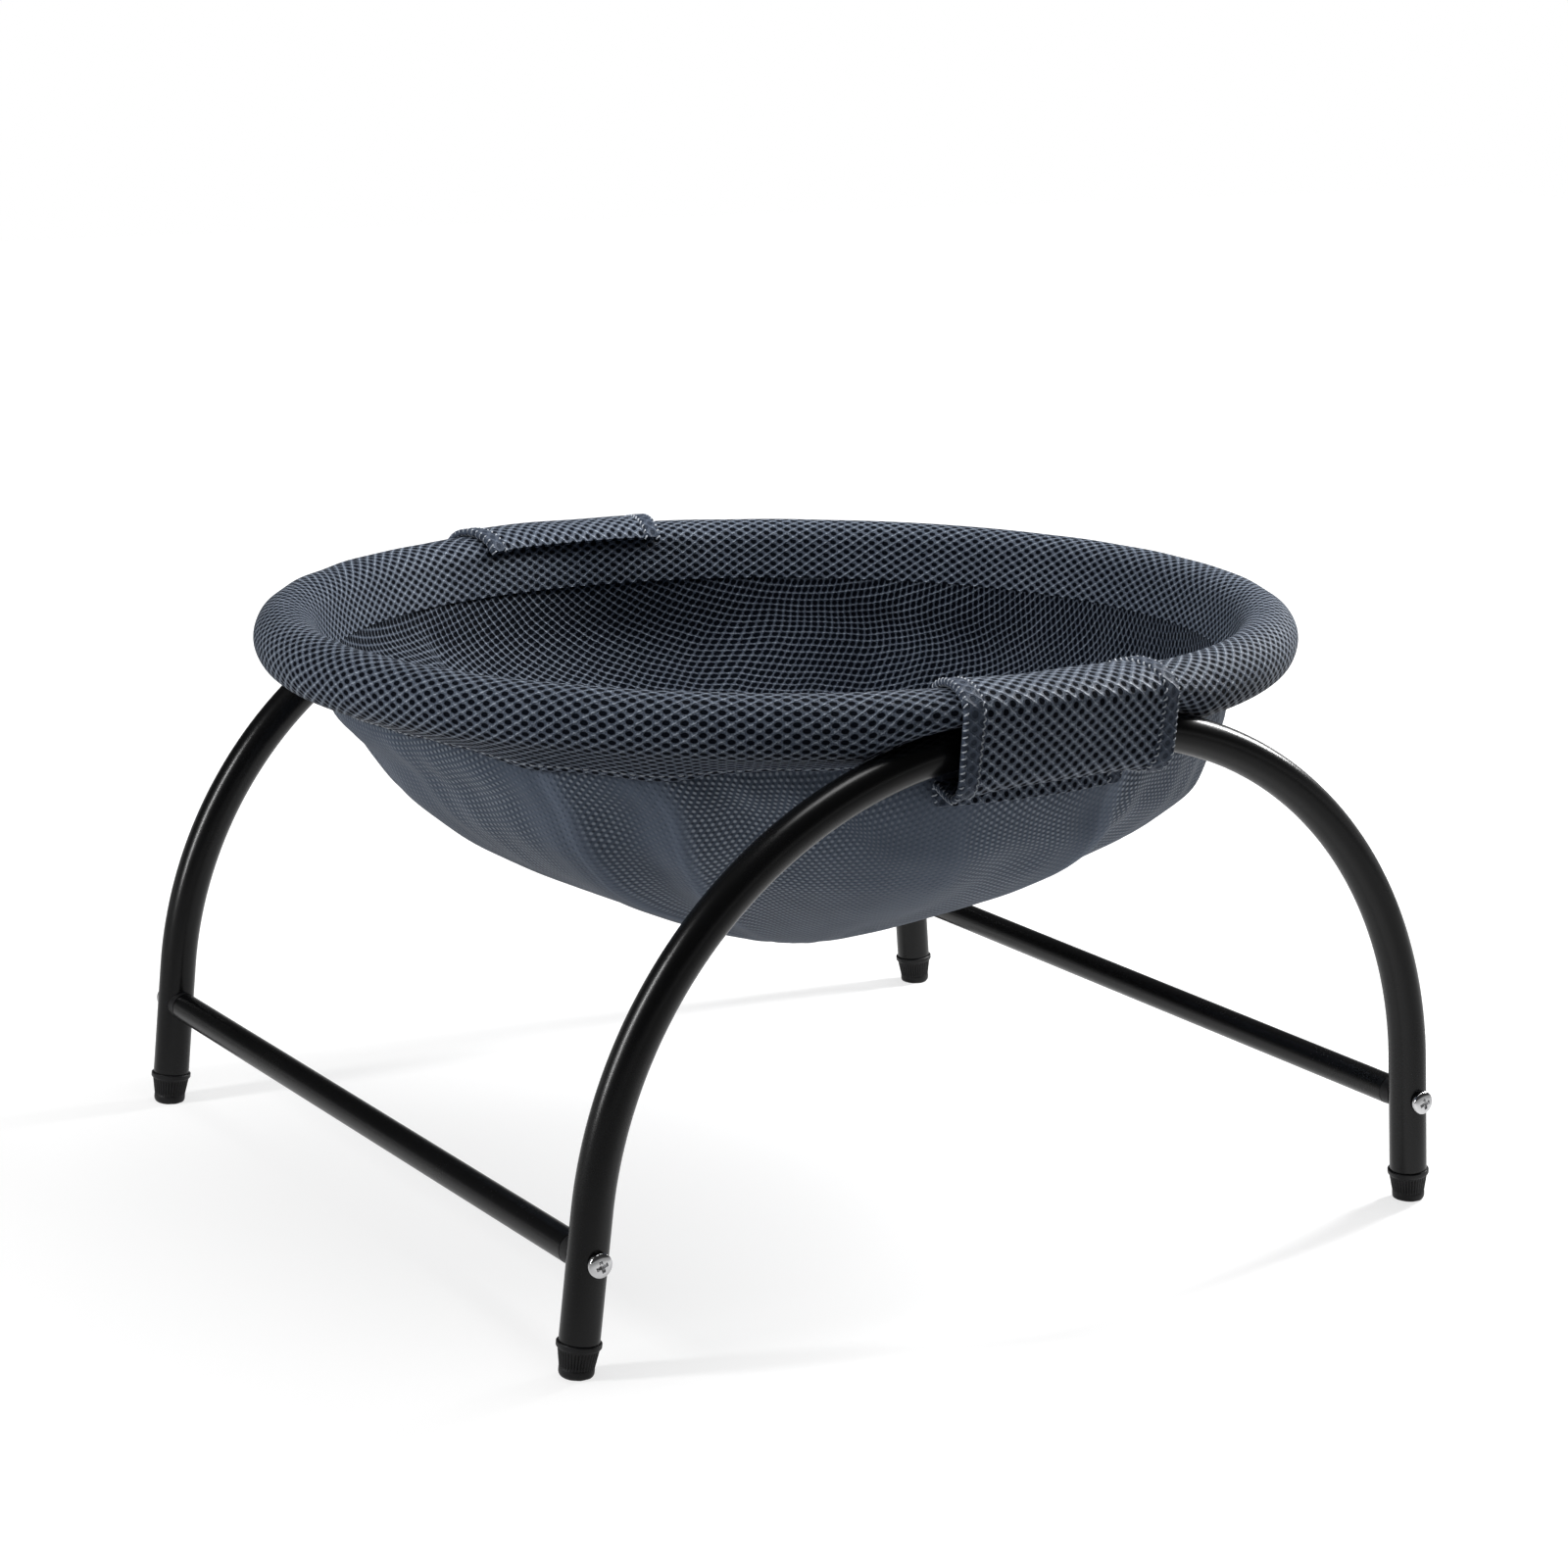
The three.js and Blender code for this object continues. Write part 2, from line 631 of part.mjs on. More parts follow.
function bedBowl() {
  const rows = [];
  const lowest = vector(0, 0, rimHeight - wallDrop - bowlDepth);
  stationAngles.map(rimSection).forEach((section) => {
    const topInset = section.wide + seatGap + bowlThickness / 2;
    const path = [
      [-topInset, section.middle],
      [-(topInset + wallInset) / 2, -hemDrop / 2],
      [-wallInset, -hemDrop],
      [-wallInset, -wallDrop],
    ];
    const points = path.map(section.place);
    const radiusShares = path.map(() => 1);
    const wall = points[points.length - 1];
    const wallRadius = Math.hypot(wall.x, wall.y);
    for (const [radiusShare, depthShare] of bowlProfileShares) {
      const z = wall.z - bowlDepth * depthShare;
      path.push([-wallInset - wallRadius * (1 - radiusShare), z - rimHeight]);
      points.push(vector(wall.x * radiusShare, wall.y * radiusShare, z));
      radiusShares.push(radiusShare);
    }
    const { normals } = ribbon(path, bowlThickness);
    const out = [];
    const inside = [];
    points.forEach((point, row) => {
      const [normalP, normalQ] = normals[row];
      const normal = section.outward.clone().multiplyScalar(-normalP).setZ(-normalQ);
      if (normalP > 0) normal.negate();
      const middle = point.addScaledVector(normal, foldHeight(section.angle, radiusShares[row]));
      out.push(middle.clone().addScaledVector(normal, bowlThickness / 2));
      inside.push(middle.clone().addScaledVector(normal, -bowlThickness / 2));
    });
    rows.push([...inside.reverse(), ...out]);
  });
  const rings = rows[0].map((_, row) => rows.map((station) => station[row]));
  const up = (distance) => lowest.clone().setZ(lowest.z + distance);
  return skin([[up(bowlThickness / 2)], ...rings, [up(-bowlThickness / 2)]]);
}

// A cloth panel across the front of the rim, from the path of each of its sections
function frontPanel(width, columns, thickness, pathOf) {
  const face = [];
  const back = [];
  for (const x of steps(columns, -width / 2, width / 2)) {
    const section = rimSection(-Math.acos(x / (hoopLength / 2)));
    const sides = ribbon(pathOf(section), thickness);
    face.push(sides.face.map(section.place));
    back.push(sides.back.map(section.place));
  }
  return slab(face, back);
}

const flapOffset = clothEase + flapThickness / 2;
const tailMeetsWall = [-tailInset, -tailWallDrop];

// Where round the tube the strap leaves it, pulled straight to the bed's cloth wall
function leavingTube({ tube }) {
  const across = tailMeetsWall[0] - tube.p;
  const down = tailMeetsWall[1] - tube.q;
  return Math.atan2(down, across) + Math.acos((tubeRadius + flapOffset) / Math.hypot(across, down));
}

// The flap follows the hull of the rim and the tube
function flapPath(section) {
  return steps(flapArcPoints, flapStart, leavingTube(section)).map((turn) => {
    const along = ([p, q]) => p * Math.cos(turn) + q * Math.sin(turn);
    const onRim = section.rim(section.facing(turn), flapOffset);
    const onTube = section.aroundTube(turn, flapOffset);
    return along(onRim) > along(onTube) ? onRim : onTube;
  });
}

// The free end goes on from the tube to the bed's cloth wall and lies down it
function tailPath(section) {
  const leave = section.aroundTube(leavingTube(section), flapOffset);
  const pull = Math.hypot(tailMeetsWall[0] - leave[0], tailMeetsWall[1] - leave[1]);
  return [
    ...steps(tailPullPoints, foldGap / pull, 1).map((share) => between(leave, tailMeetsWall, share)),
    [-tailInset, -tailDrop],
  ];
}

const stripPath = (inset) => () => [
  [-inset, -tailWallDrop - seatGap],
  [-inset, -tailWallDrop - seatGap - stripHeight],
];

function strapAssembly(end) {
  const loopInset = wallInset - bowlThickness / 2 - seatGap - stripThickness / 2;
  const hookInset = loopInset - stripThickness - seatGap;
  const strap = new THREE.Group();
  strap.add(
    piece(end + "_flap", frontPanel(flapWidth, flapColumns, flapThickness, flapPath), mesh),
    piece(end + "_flap_tail", frontPanel(flapWidth, flapColumns, flapThickness, tailPath), mesh),
    piece(
      end + "_hook_strip",
      frontPanel(stripWidth, stripColumns, stripThickness, stripPath(hookInset)),
      tape,
    ),
    piece(
      end + "_loop_strip",
      frontPanel(stripWidth, stripColumns, stripThickness, stripPath(loopInset)),
      tape,
    ),
  );
  return strap;
}

const cot = new THREE.Group();

// The rear is the front turned half round, so its left side is the +X side there
const frontSides = [
  [-1, "left"],
  [1, "right"],
];
const rearSides = [
  [1, "left"],
  [-1, "right"],
];
const front = new THREE.Group();
front.add(archAssembly("front", frontSides), strapAssembly("front"));
const rear = new THREE.Group();
rear.add(archAssembly("rear", rearSides), strapAssembly("rear"));
rear.rotation.z = Math.PI;
cot.add(front, rear, crossBar(-1, "left"), crossBar(1, "right"));

for (let index = 0; index < hoopSegments; index++) {
  cot.add(piece("hoop_rod_" + (index + 1), hoopRod(index), steel));
}
cot.add(
  piece("rim_foam", rimFoam(), foam),
  piece("rim_cover", rimCover(), mesh),
  piece("bed_bowl", bedBowl(), cloth),
);

export default cot;
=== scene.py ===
import math

import bpy
import numpy as np
from mathutils import Matrix


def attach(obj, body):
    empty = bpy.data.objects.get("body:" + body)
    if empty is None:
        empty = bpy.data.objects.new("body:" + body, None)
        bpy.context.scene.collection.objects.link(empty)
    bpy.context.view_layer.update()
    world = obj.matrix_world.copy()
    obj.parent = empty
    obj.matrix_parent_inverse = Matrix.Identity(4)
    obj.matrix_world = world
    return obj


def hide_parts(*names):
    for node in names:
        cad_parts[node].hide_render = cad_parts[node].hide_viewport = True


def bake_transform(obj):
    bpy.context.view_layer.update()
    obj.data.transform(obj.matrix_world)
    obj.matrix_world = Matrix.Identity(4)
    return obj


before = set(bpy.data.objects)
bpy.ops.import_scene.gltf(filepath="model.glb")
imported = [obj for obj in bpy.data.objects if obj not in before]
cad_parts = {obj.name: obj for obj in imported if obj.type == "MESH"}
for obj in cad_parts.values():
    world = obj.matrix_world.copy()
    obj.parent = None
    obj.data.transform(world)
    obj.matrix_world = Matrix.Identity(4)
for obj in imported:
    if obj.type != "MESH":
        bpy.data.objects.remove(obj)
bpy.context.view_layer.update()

# Sizes of the cot in millimetres and its angles in radians, as in the part's source
MM = 0.001
SEAT_GAP = 0.3
SHELL_HALF = 0.75  # half the thickness of cover and bed in the solids
TUBE_R, TUBE_BORE_R = 8.0, 6.8
ARCH_Y, ARCH_TOP, CROWN_HALF, BEND_R = 190.5, 226.8, 21.0, 180.0
SPLAY, LEAN = math.radians(5.3), math.radians(0.75)
BEND_TURN = math.pi / 2 - SPLAY
FOOT_H = 14.0
BAR_R, BAR_BORE_R, BAR_Z = 6.25, 5.25, 46.4
PLUG_SEAT = 10.8
HOOP_X, HOOP_Y, RIM_Z, RIM_R = 215.7, 196.6, 236.2, 13.25
REST_GAP, TUCK_GAP, BULGE_SHARE = 1.3, 2.3, 0.25
HEM_DROP, HEM_DIP, HEM_IN = 19.7, 5.5, 14.7
WALL_IN, WALL_DROP, BOWL_DEPTH = 16.5, 35.0, 109.0
STRAP_HALF, STRAP_THICK, STRAP_OFF = 50.0, 2.4, 1.8
TAIL_IN, TAIL_WALL_DROP, TAIL_DROP = 11.65, 26.6, 36.4

LEG_TOP = ARCH_TOP - BEND_R + BEND_R * math.sin(SPLAY)
FOOT_X = CROWN_HALF + BEND_R * math.cos(SPLAY) + LEG_TOP * math.tan(SPLAY)
BAR_X = FOOT_X - BAR_Z * math.tan(SPLAY)

# Sizes of the cloth that the picture shows, in millimetres
COVER_THICK, BED_THICK, TAPE_THICK = 1.1, 1.2, 1.0
LAP_Q = -12.0  # how far down inside the bed the rim's cloth is sewn on
RIM_PITCH = 6.6  # from hole to hole along the rim
STATIONS = 540  # round the rim

# The bowl's line, from its wall to its lowest point: share of the wall's distance from the middle, and of the
# bowl's depth
BOWL_SHARES = [(1, 0), (0.97, 0.1), (0.904, 0.27), (0.78, 0.45), (0.632, 0.595), (0.466, 0.73),
               (0.286, 0.865), (0.126, 0.966), (0, 1)]
SAG = np.array([7.6, -4.8, 5.3])  # the worn-in bed's lowest point lies off the middle, and less deep

# The bed's tension folds: where they lie, how strong each is and how sharply it drops on its far side
FOLD_ANGLES = np.radians([-148, -134, -97, -74, 33, 48, 88, 114])
FOLD_SHARES = np.array([0.9, 1, 0.6, 0.7, 0.7, 0.8, 0.5, 1.05])
FOLD_LEAN = np.array([0.7, 0.9, 0.1, 1.3, 0.1, 0.1, 0.1, 0.1])
FOLD_HALF, FOLD_DEPTH = math.radians(7.5), 5.85

# How the strap was laid on: off the middle and drawn in a little, in a loose loop round the tube
STRAP_ASIDE, STRAP_NARROW, STRAP_CORNER = 2.6, 0.97, 4.0
LOOP_R, LOOP_OUT, LOOP_DOWN, LOOP_SLANT = 10.6, 2.0, 6.3, 0.03

ENDS = ((False, "front"), (True, "rear"))
SIDES = ((-1, "left"), (1, "right"))


# Surfaces
def unit(v):
    """Vectors cut or stretched to length 1."""
    return v / np.linalg.norm(v, axis=-1, keepdims=True)


def smooth(x, low, high):
    """A soft step from 0 at low to 1 at high."""
    t = np.clip((x - low) / (high - low), 0, 1)
    return t * t * (3 - 2 * t)


def full_turn(count):
    """The angles of count points round a circle."""
    return np.arange(count) / count * 2 * math.pi


def closed(rows):
    """The same rows with the first one again at their end."""
    return np.concatenate([rows, rows[:1]])


def left_of(along):
    """The direction a quarter turn to the left of each direction in a plane."""
    return np.stack([-along[..., 1], along[..., 0]], -1)


def rounded(to_edge, reach, least):
    """The share of a cloth's thickness near its edge: a quarter circle over the reach. Its square is least
    or more."""
    return np.sqrt(np.clip(1 - np.clip((reach - to_edge) / reach, 0, 1) ** 2, least, 1))


def corner_cut(x, half, radius):
    """How much a strip of a half width is cut back at x for the round corners of its end."""
    past = np.clip(np.abs(x) - (half - radius), 0, radius)
    return radius - np.sqrt(np.clip(radius ** 2 - past ** 2, 0, None))


def distance(path):
    """The distance run at each point of a path (points, axes)."""
    return np.concatenate([[0], np.cumsum(np.linalg.norm(np.diff(path, axis=0), axis=1))])


def resample(path, count, length=None):
    """Points spaced evenly along a path (points, 2), over its first length millimetres."""
    run = distance(path)
    at = np.linspace(0, run[-1] if length is None else length, count)
    return np.stack([np.interp(at, run, path[:, k]) for k in (0, 1)], 1), at


def show(name, data):
    """An object of the scene that holds a mesh, a lamp or a camera."""
    made = bpy.data.objects.new(name, data)
    bpy.context.scene.collection.objects.link(made)
    return made


def surface(name, grid, uv=None, ring_rows=False, ring_columns=True, poles=False, zips=False, crease=35):
    """A closed mesh over a grid of points (rows, columns, 3) in millimetres. ring_rows and ring_columns join
    the last row or column to the first. poles closes the first and last row with a fan round the row's
    middle, and zips closes the first and last column of a ring of rows across from one half of the ring to
    the other. uv holds millimetres for each point, with one more row or column where that direction is a
    ring. Edges sharper than crease degrees are shaded sharp, and the signed volume turns the faces
    outward."""
    rows, columns = grid.shape[:2]
    points = grid.reshape(-1, 3)
    cells = np.arange(rows - (not ring_rows)), np.arange(columns - (not ring_columns))
    i, j = (part.ravel() for part in np.meshgrid(*cells, indexing="ij"))
    corner = lambda a, b: (a % rows) * columns + b % columns
    faces = [np.stack([corner(i, j), corner(i + 1, j), corner(i + 1, j + 1), corner(i, j + 1)], 1)]
    if uv is None:
        uv = np.zeros((rows + 1, columns + 1, 2))
    marks = [np.stack([uv[i, j], uv[i + 1, j], uv[i + 1, j + 1], uv[i, j + 1]], 1)]
    if poles:
        k = np.arange(columns)
        for row, flip in ((0, 1), (rows - 1, -1)):
            pole = np.full(columns, len(points))
            points = np.vstack([points, grid[row].mean(0)])
            faces.append(np.stack([corner(row, k), corner(row, k + 1), pole], 1)[:, ::flip])
            tip = np.repeat(uv[row, :columns].mean(0)[None], columns, 0)
            marks.append(np.stack([uv[row, k], uv[row, (k + 1) % uv.shape[1]], tip], 1)[:, ::flip])
    if zips:
        k = np.arange(rows // 2 - 1)
        across = rows - 1 - k
        for column, flip in ((0, 1), (columns - 1, -1)):
            ring = [k, across, across - 1, k + 1]
            faces.append(np.stack([corner(a, column) for a in ring], 1)[:, ::flip])
            marks.append(np.stack([uv[a, column] for a in ring], 1)[:, ::flip])
    loops = np.concatenate([f.ravel() for f in faces])
    sizes = np.concatenate([np.full(len(f), f.shape[1]) for f in faces])
    starts = np.concatenate([[0], np.cumsum(sizes)[:-1]])
    marks = np.concatenate([m.reshape(-1, 2) for m in marks])
    volume = sum(np.einsum("ij,ij->", points[f[:, 0]], np.cross(points[f[:, a]], points[f[:, a + 1]]))
                 for f in faces for a in range(1, f.shape[1] - 1))
    mesh = bpy.data.meshes.new(name)
    mesh.vertices.add(len(points))
    mesh.vertices.foreach_set("co", (points * MM).astype(np.float32).ravel())
    mesh.loops.add(len(loops))
    mesh.loops.foreach_set("vertex_index", loops.astype(np.int32))
    mesh.polygons.add(len(sizes))
    mesh.polygons.foreach_set("loop_start", starts.astype(np.int32))
    mesh.update(calc_edges=True)
    mesh.uv_layers.new(name="cloth").data.foreach_set("uv", marks.astype(np.float32).ravel())
    if volume < 0:
        mesh.flip_normals()
    mesh.shade_smooth()
    mesh.set_sharp_from_angle(angle=math.radians(crease))
    return show(name, mesh)


def revolve(profile, sides, shape=None):
    """Turns a closed profile of (radius, height) round an axis: x and z are the radius times cosine and sine
    of the angle, and y is the height. shape, if given, changes radius and height for each angle."""
    angle = full_turn(sides)
    radius, height = (np.repeat(np.array(part, float)[:, None], sides, 1) for part in zip(*profile))
    if shape:
        radius, height = shape(radius, height, angle)
    return np.stack([radius * np.cos(angle), height, radius * np.sin(angle)], -1)


def thread(name, path, radius, sides=6):
    """A round thread along an open path: a circle carried on frames built from the path's direction and the
    world's up, closed by a pole at each end."""
    along = unit(np.gradient(path, axis=0))
    side = unit(np.cross(along, np.where(np.abs(along[:, 2:]) > 0.9, [[1.0, 0, 0]], [[0, 0, 1.0]])))
    up = np.cross(side, along)
    turn = full_turn(sides)[None, :, None]
    grid = path[:, None] + radius * (np.cos(turn) * side[:, None] + np.sin(turn) * up[:, None])
    return surface(name, grid, poles=True)


def dress(piece, finish, body="cot", nodes=()):
    """Gives a piece its finish and its body, and hides the solids that it stands for."""
    piece.data.materials.clear()
    piece.data.materials.append(finish)
    if body:
        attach(piece, body)
    if nodes:
        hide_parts(*nodes)
    return piece


# Finishes
def operator(operation, swapped=False):
    """A method of Value that adds the Math node of an operation. swapped puts the other value first."""
    def method(value, *others):
        terms = (*others, value) if swapped else (value, *others)
        return value.finish.node("ShaderNodeMath", {"operation": operation}, terms)
    return method


class Value:
    """A socket of a finish that takes part in Python sums. Each operator adds a Math node."""

    def __init__(self, finish, socket):
        self.finish, self.socket = finish, socket

    __add__ = operator("ADD")
    __radd__ = operator("ADD", swapped=True)
    __sub__ = operator("SUBTRACT")
    __rsub__ = operator("SUBTRACT", swapped=True)
    __mul__ = operator("MULTIPLY")
    __truediv__ = operator("DIVIDE")
    __pow__ = operator("POWER")
    __abs__ = operator("ABSOLUTE")
    fraction = operator("FRACT")
    lesser = operator("MINIMUM")
    greater = operator("MAXIMUM")
    sine = operator("SINE")

    def step(self, low, high):
        """A soft step from 0 at low to 1 at high."""
        return self.finish.node("ShaderNodeMapRange", {"interpolation_type": "SMOOTHSTEP"},
                                {"Value": self, "From Min": low, "From Max": high})


class Finish:
    """A material, or the world's background, under construction."""

    def __init__(self, name="", owner=None):
        self.owner = bpy.data.materials.new(name) if owner is None else owner
        self.owner.use_nodes = True
        self.tree = self.owner.node_tree
        self.tree.nodes.clear()

    def node(self, kind, settings=None, inputs=(), output=0):
        """Adds a node: its settings first, then the values or links of its sockets, by place or by name."""
        made = self.tree.nodes.new(kind)
        for key, value in (settings or {}).items():
            setattr(made, key, value)
        for key, value in inputs.items() if isinstance(inputs, dict) else enumerate(inputs):
            if isinstance(value, Value):
                self.tree.links.new(value.socket, made.inputs[key])
            else:
                made.inputs[key].default_value = value
        pick = lambda name: Value(self, made.outputs[name])
        return tuple(map(pick, output)) if isinstance(output, tuple) else pick(output)

    def done(self, shader, kind="ShaderNodeOutputMaterial"):
        """Links the last shader to the output and gives back what the nodes belong to."""
        out = self.tree.nodes.new(kind)
        self.tree.links.new(shader.socket, out.inputs["Surface"])
        return self.owner

    def place(self):
        """Metres in the frame."""
        return self.node("ShaderNodeTexCoord", output="Object")

    def flat(self):
        """Millimetres across and along the cloth, and both as one point."""
        mark = self.node("ShaderNodeUVMap", {"uv_map": "cloth"})
        x, y = self.node("ShaderNodeSeparateXYZ", inputs=[mark], output=(0, 1))
        return x, y, self.node("ShaderNodeCombineXYZ", inputs=[x, y])

    def noise(self, vector, scale, detail):
        """Smooth noise about 0.5, with scale waves to the metre or, on the cloth, to the millimetre."""
        return self.node("ShaderNodeTexNoise", {"noise_dimensions": "3D"},
                         {"Vector": vector, "Scale": scale, "Detail": detail})

    def blend(self, share, first, second):
        """Mixes two colours."""
        colour = lambda c: c if isinstance(c, Value) else (*c, 1)
        return self.node("ShaderNodeMix", {"data_type": "RGBA", "clamp_factor": True},
                         {0: share, 6: colour(first), 7: colour(second)}, 2)

    def shade(self, colour, roughness, height, depth, **constants):
        """The shader. height is in millimetres, and constants are set on the shader's own sockets."""
        normal = self.node("ShaderNodeBump", inputs={"Strength": depth, "Distance": MM, "Height": height})
        inputs = {"Base Color": colour, "Roughness": roughness, "Normal": normal}
        inputs.update({key.replace("_", " "): value for key, value in constants.items()})
        return self.done(self.node("ShaderNodeBsdfPrincipled", inputs=inputs, output="BSDF"))


def lattice(x, y, wide, tall, squash=1.0):
    """Distance in millimetres to the nearest point of two interleaved grids of wide by tall cells, as the
    holes of a mesh lie. squash below 1 counts distance along x for less, which makes the holes oval."""
    def away(shift):
        a = ((x / wide + shift).fraction() - 0.5) * (wide * squash)
        b = ((y / tall + shift).fraction() - 0.5) * tall
        return (a * a + b * b) ** 0.5
    return away(0.0).lesser(away(0.5))


# Colours of the spacer mesh: a painted highlight on the yarn, the yarn's own slate, and the navy backing in
# the holes darkened to near black as painted shade
THREAD_HIGHLIGHT, WEB, NAVY_HOLE_SHADE = (0.36, 0.41, 0.485), (0.058, 0.073, 0.103), (0.001, 0.0024, 0.006)


def mesh_finish(name, wide, tall, hole, squash, slant, band=None):
    """Spacer mesh: navy holes in a web of slate yarn, the holes darkened to near black as painted shade. The
    web carries a painted highlight: it is lightest at its nodes, half-way between neighbouring holes, and
    along thin raised lines that run between the holes along one diagonal, whose direction is the sign of
    slant. The yarn is uneven. A band of the same cloth folded over is darker and has fainter holes."""
    f = Finish(name)
    x, y, spot = f.flat()
    drift = f.noise(spot, 0.045, 1.0)
    a, b = x + (drift - 0.5) * 1.6, y + (drift - 0.5) * 1.2
    far = lattice(a, b, wide, tall, squash)
    # The nodes and the raised diagonal lines carry the painted highlight on the web, and also bump the yarn
    # up
    node = far.step(hole * 1.4, tall * 0.5)
    across = abs((a / wide + b / tall * slant).fraction() - 0.5) * (wide * tall / math.hypot(wide, tall))
    highlight_line = 1 - across.step(0.08, 0.5)
    yarn = f.noise(spot, 1.7, 3.0)
    patch = f.noise(spot, 0.8, 2.0)
    wear_and_highlight = f.noise(spot, 0.02, 2.0)
    folded = band(x) if band else 0.0
    # The holes take a near-black navy: the backing's own colour with painted shade in the hole
    pit = (1 - far.step(hole * 0.8, hole * 1.2)) * (1 - folded * 0.5)
    # light: the painted highlight at the nodes and raised lines, with uneven yarn, patches and wear
    light = node * 0.42 + highlight_line * (patch - 0.4) * (1.5 - folded)
    light = light + (yarn - 0.5) * 1.4 + (patch - 0.5) * 0.3 + 0.12
    light = light + (wear_and_highlight - 0.5) * 0.25 - folded * 0.28
    colour = f.blend(pit, f.blend(light.step(0.0, 1.0), WEB, THREAD_HIGHLIGHT), NAVY_HOLE_SHADE)
    height = node * 0.3 + highlight_line * 0.3 - pit * 0.9 + (yarn - 0.5) * 0.35
    return f.shade(colour, 0.46 + pit * 0.5, height, 1.0, Specular_IOR_Level=0.08, Sheen_Weight=0.015,
                   Sheen_Roughness=0.4)


def knit_finish(name, wide, tall):
    """The fine face of the same cloth: slate grey with a light stitch between small dimples in close
    diagonal rows; the stitches' light colour is a painted highlight on their threads, and the dimples' dark
    colour is painted shade in them. The attribute hollow is painted shade beside the folds, where the grey is
    darker and the stitches and dimples show most; on the folds' lit sides they all but vanish. The attribute
    edge is a painted highlight along the folds' edges."""
    # dark and pale span the grey's random tone and its painted shade and highlight; dimpled is painted shade
    # in the dimples, stitched a painted highlight on the stitches
    dark, pale = (0.034, 0.047, 0.07), (0.1, 0.125, 0.171)
    dimpled, stitched = (0.016, 0.022, 0.034), (0.31, 0.35, 0.41)
    f = Finish(name)
    x, y, spot = f.flat()
    own = lambda key: f.node("ShaderNodeAttribute", {"attribute_name": key}, output="Fac")
    # hollow is painted shade beside the folds, and the edge attribute a painted highlight along them
    hollow, wear_and_highlight = own("hollow"), own("edge")
    drift = (f.noise(spot, 0.03, 1.0) - 0.5) * 3.0
    a, b = x + drift, y + drift
    stitch = 1 - lattice(a, b, wide, tall).step(0.35, 1.2)
    dimple = 1 - lattice(a + wide * 0.5, b, wide, tall).step(0.3, 1.05)
    fibre = f.noise(spot, 1.8, 3.0)
    cloud = f.noise(spot, 0.03, 3.0)
    seen = (hollow + (cloud - 0.5) * 0.5).step(0.05, 0.85)
    # Random tone, darkened by the painted shade and lightened by the painted highlight on the folds' edges
    light = (fibre - 0.5) * 0.6 + (cloud - 0.5) * 0.4 + 0.58 - hollow * 0.38 + wear_and_highlight * 1.3
    tone = f.blend(dimple * (0.15 + seen * 0.55), f.blend(light, dark, pale), dimpled)
    colour = f.blend(stitch * (0.1 + seen * 0.8), tone, stitched)
    height = stitch * seen * 0.25 - dimple * 0.3 + (fibre - 0.5) * 0.14
    return f.shade(colour, 0.68 + (fibre - 0.5) * 0.2, height, 0.8, Specular_IOR_Level=0.2, Sheen_Weight=0.06,
                   Sheen_Roughness=0.4)


def grained_finish(name, low, high, cloud, rough, height, depth, grain=None, **constants):
    """A plain finish from two noises, each given as waves to the metre and detail. cloud blends the colours
    low and high, and grain is finer. rough is the middle roughness and how far cloud and grain swing it, and
    height is what cloud and grain add in millimetres."""
    f = Finish(name)
    where = f.place()
    broad = f.noise(where, *cloud)
    fine = f.noise(where, *grain) if grain else 0.5
    roughness = rough[0] + (broad - 0.5) * rough[1] + (fine - 0.5) * rough[2]
    raised = broad * height[0] + fine * height[1]
    return f.shade(f.blend(broad, low, high), roughness, raised, depth, **constants)


def turned_metal(name, low, high, rough, lines):
    """Bare metal with fine turning or drawing lines, as noise with so many waves to the metre on each
    axis."""
    f = Finish(name)
    where = f.place()
    line = f.noise(f.node("ShaderNodeVectorMath", {"operation": "MULTIPLY"}, [where, lines]), 1.0, 2.0)
    stain = f.noise(where, 90.0, 3.0)
    colour = f.blend(line * 0.5 + stain * 0.5, low, high)
    return f.shade(colour, rough + (line - 0.5) * 0.2, line * 0.03, 0.4, Metallic=1.0)


def cell_foam():
    """Open-cell foam: small dark pores in dark grey."""
    f = Finish("open_cell_foam")
    where = f.place()
    cell = f.node("ShaderNodeTexVoronoi", {"feature": "F1"}, {"Vector": where, "Scale": 900.0})
    grey = f.blend(f.noise(where, 60.0, 3.0), (0.06, 0.062, 0.068), (0.1, 0.102, 0.11))
    colour = f.blend(1 - cell.step(0.1, 0.5), grey, (0.012, 0.012, 0.014))
    return f.shade(colour, 0.95, cell * 0.4, 0.7)


def tape_finish(name, hooked):
    """Fastening tape: rows of tiny hooks, or a brushed pile of loops, on navy weave."""
    f = Finish(name)
    x, y, spot = f.flat()
    weave = (x * 3.1).sine() * (y * 3.1).sine() * 0.5 + 0.5
    top = 1 - lattice(x, y, 1.7, 1.5).step(0.15, 0.5) if hooked else f.noise(spot, 2.6, 4.0)
    colour = f.blend(top * 0.6 + weave * 0.3, (0.008, 0.01, 0.016), (0.035, 0.042, 0.058))
    return f.shade(colour, 0.85, top * 0.5 + weave * 0.1, 0.8, Sheen_Weight=0.2)


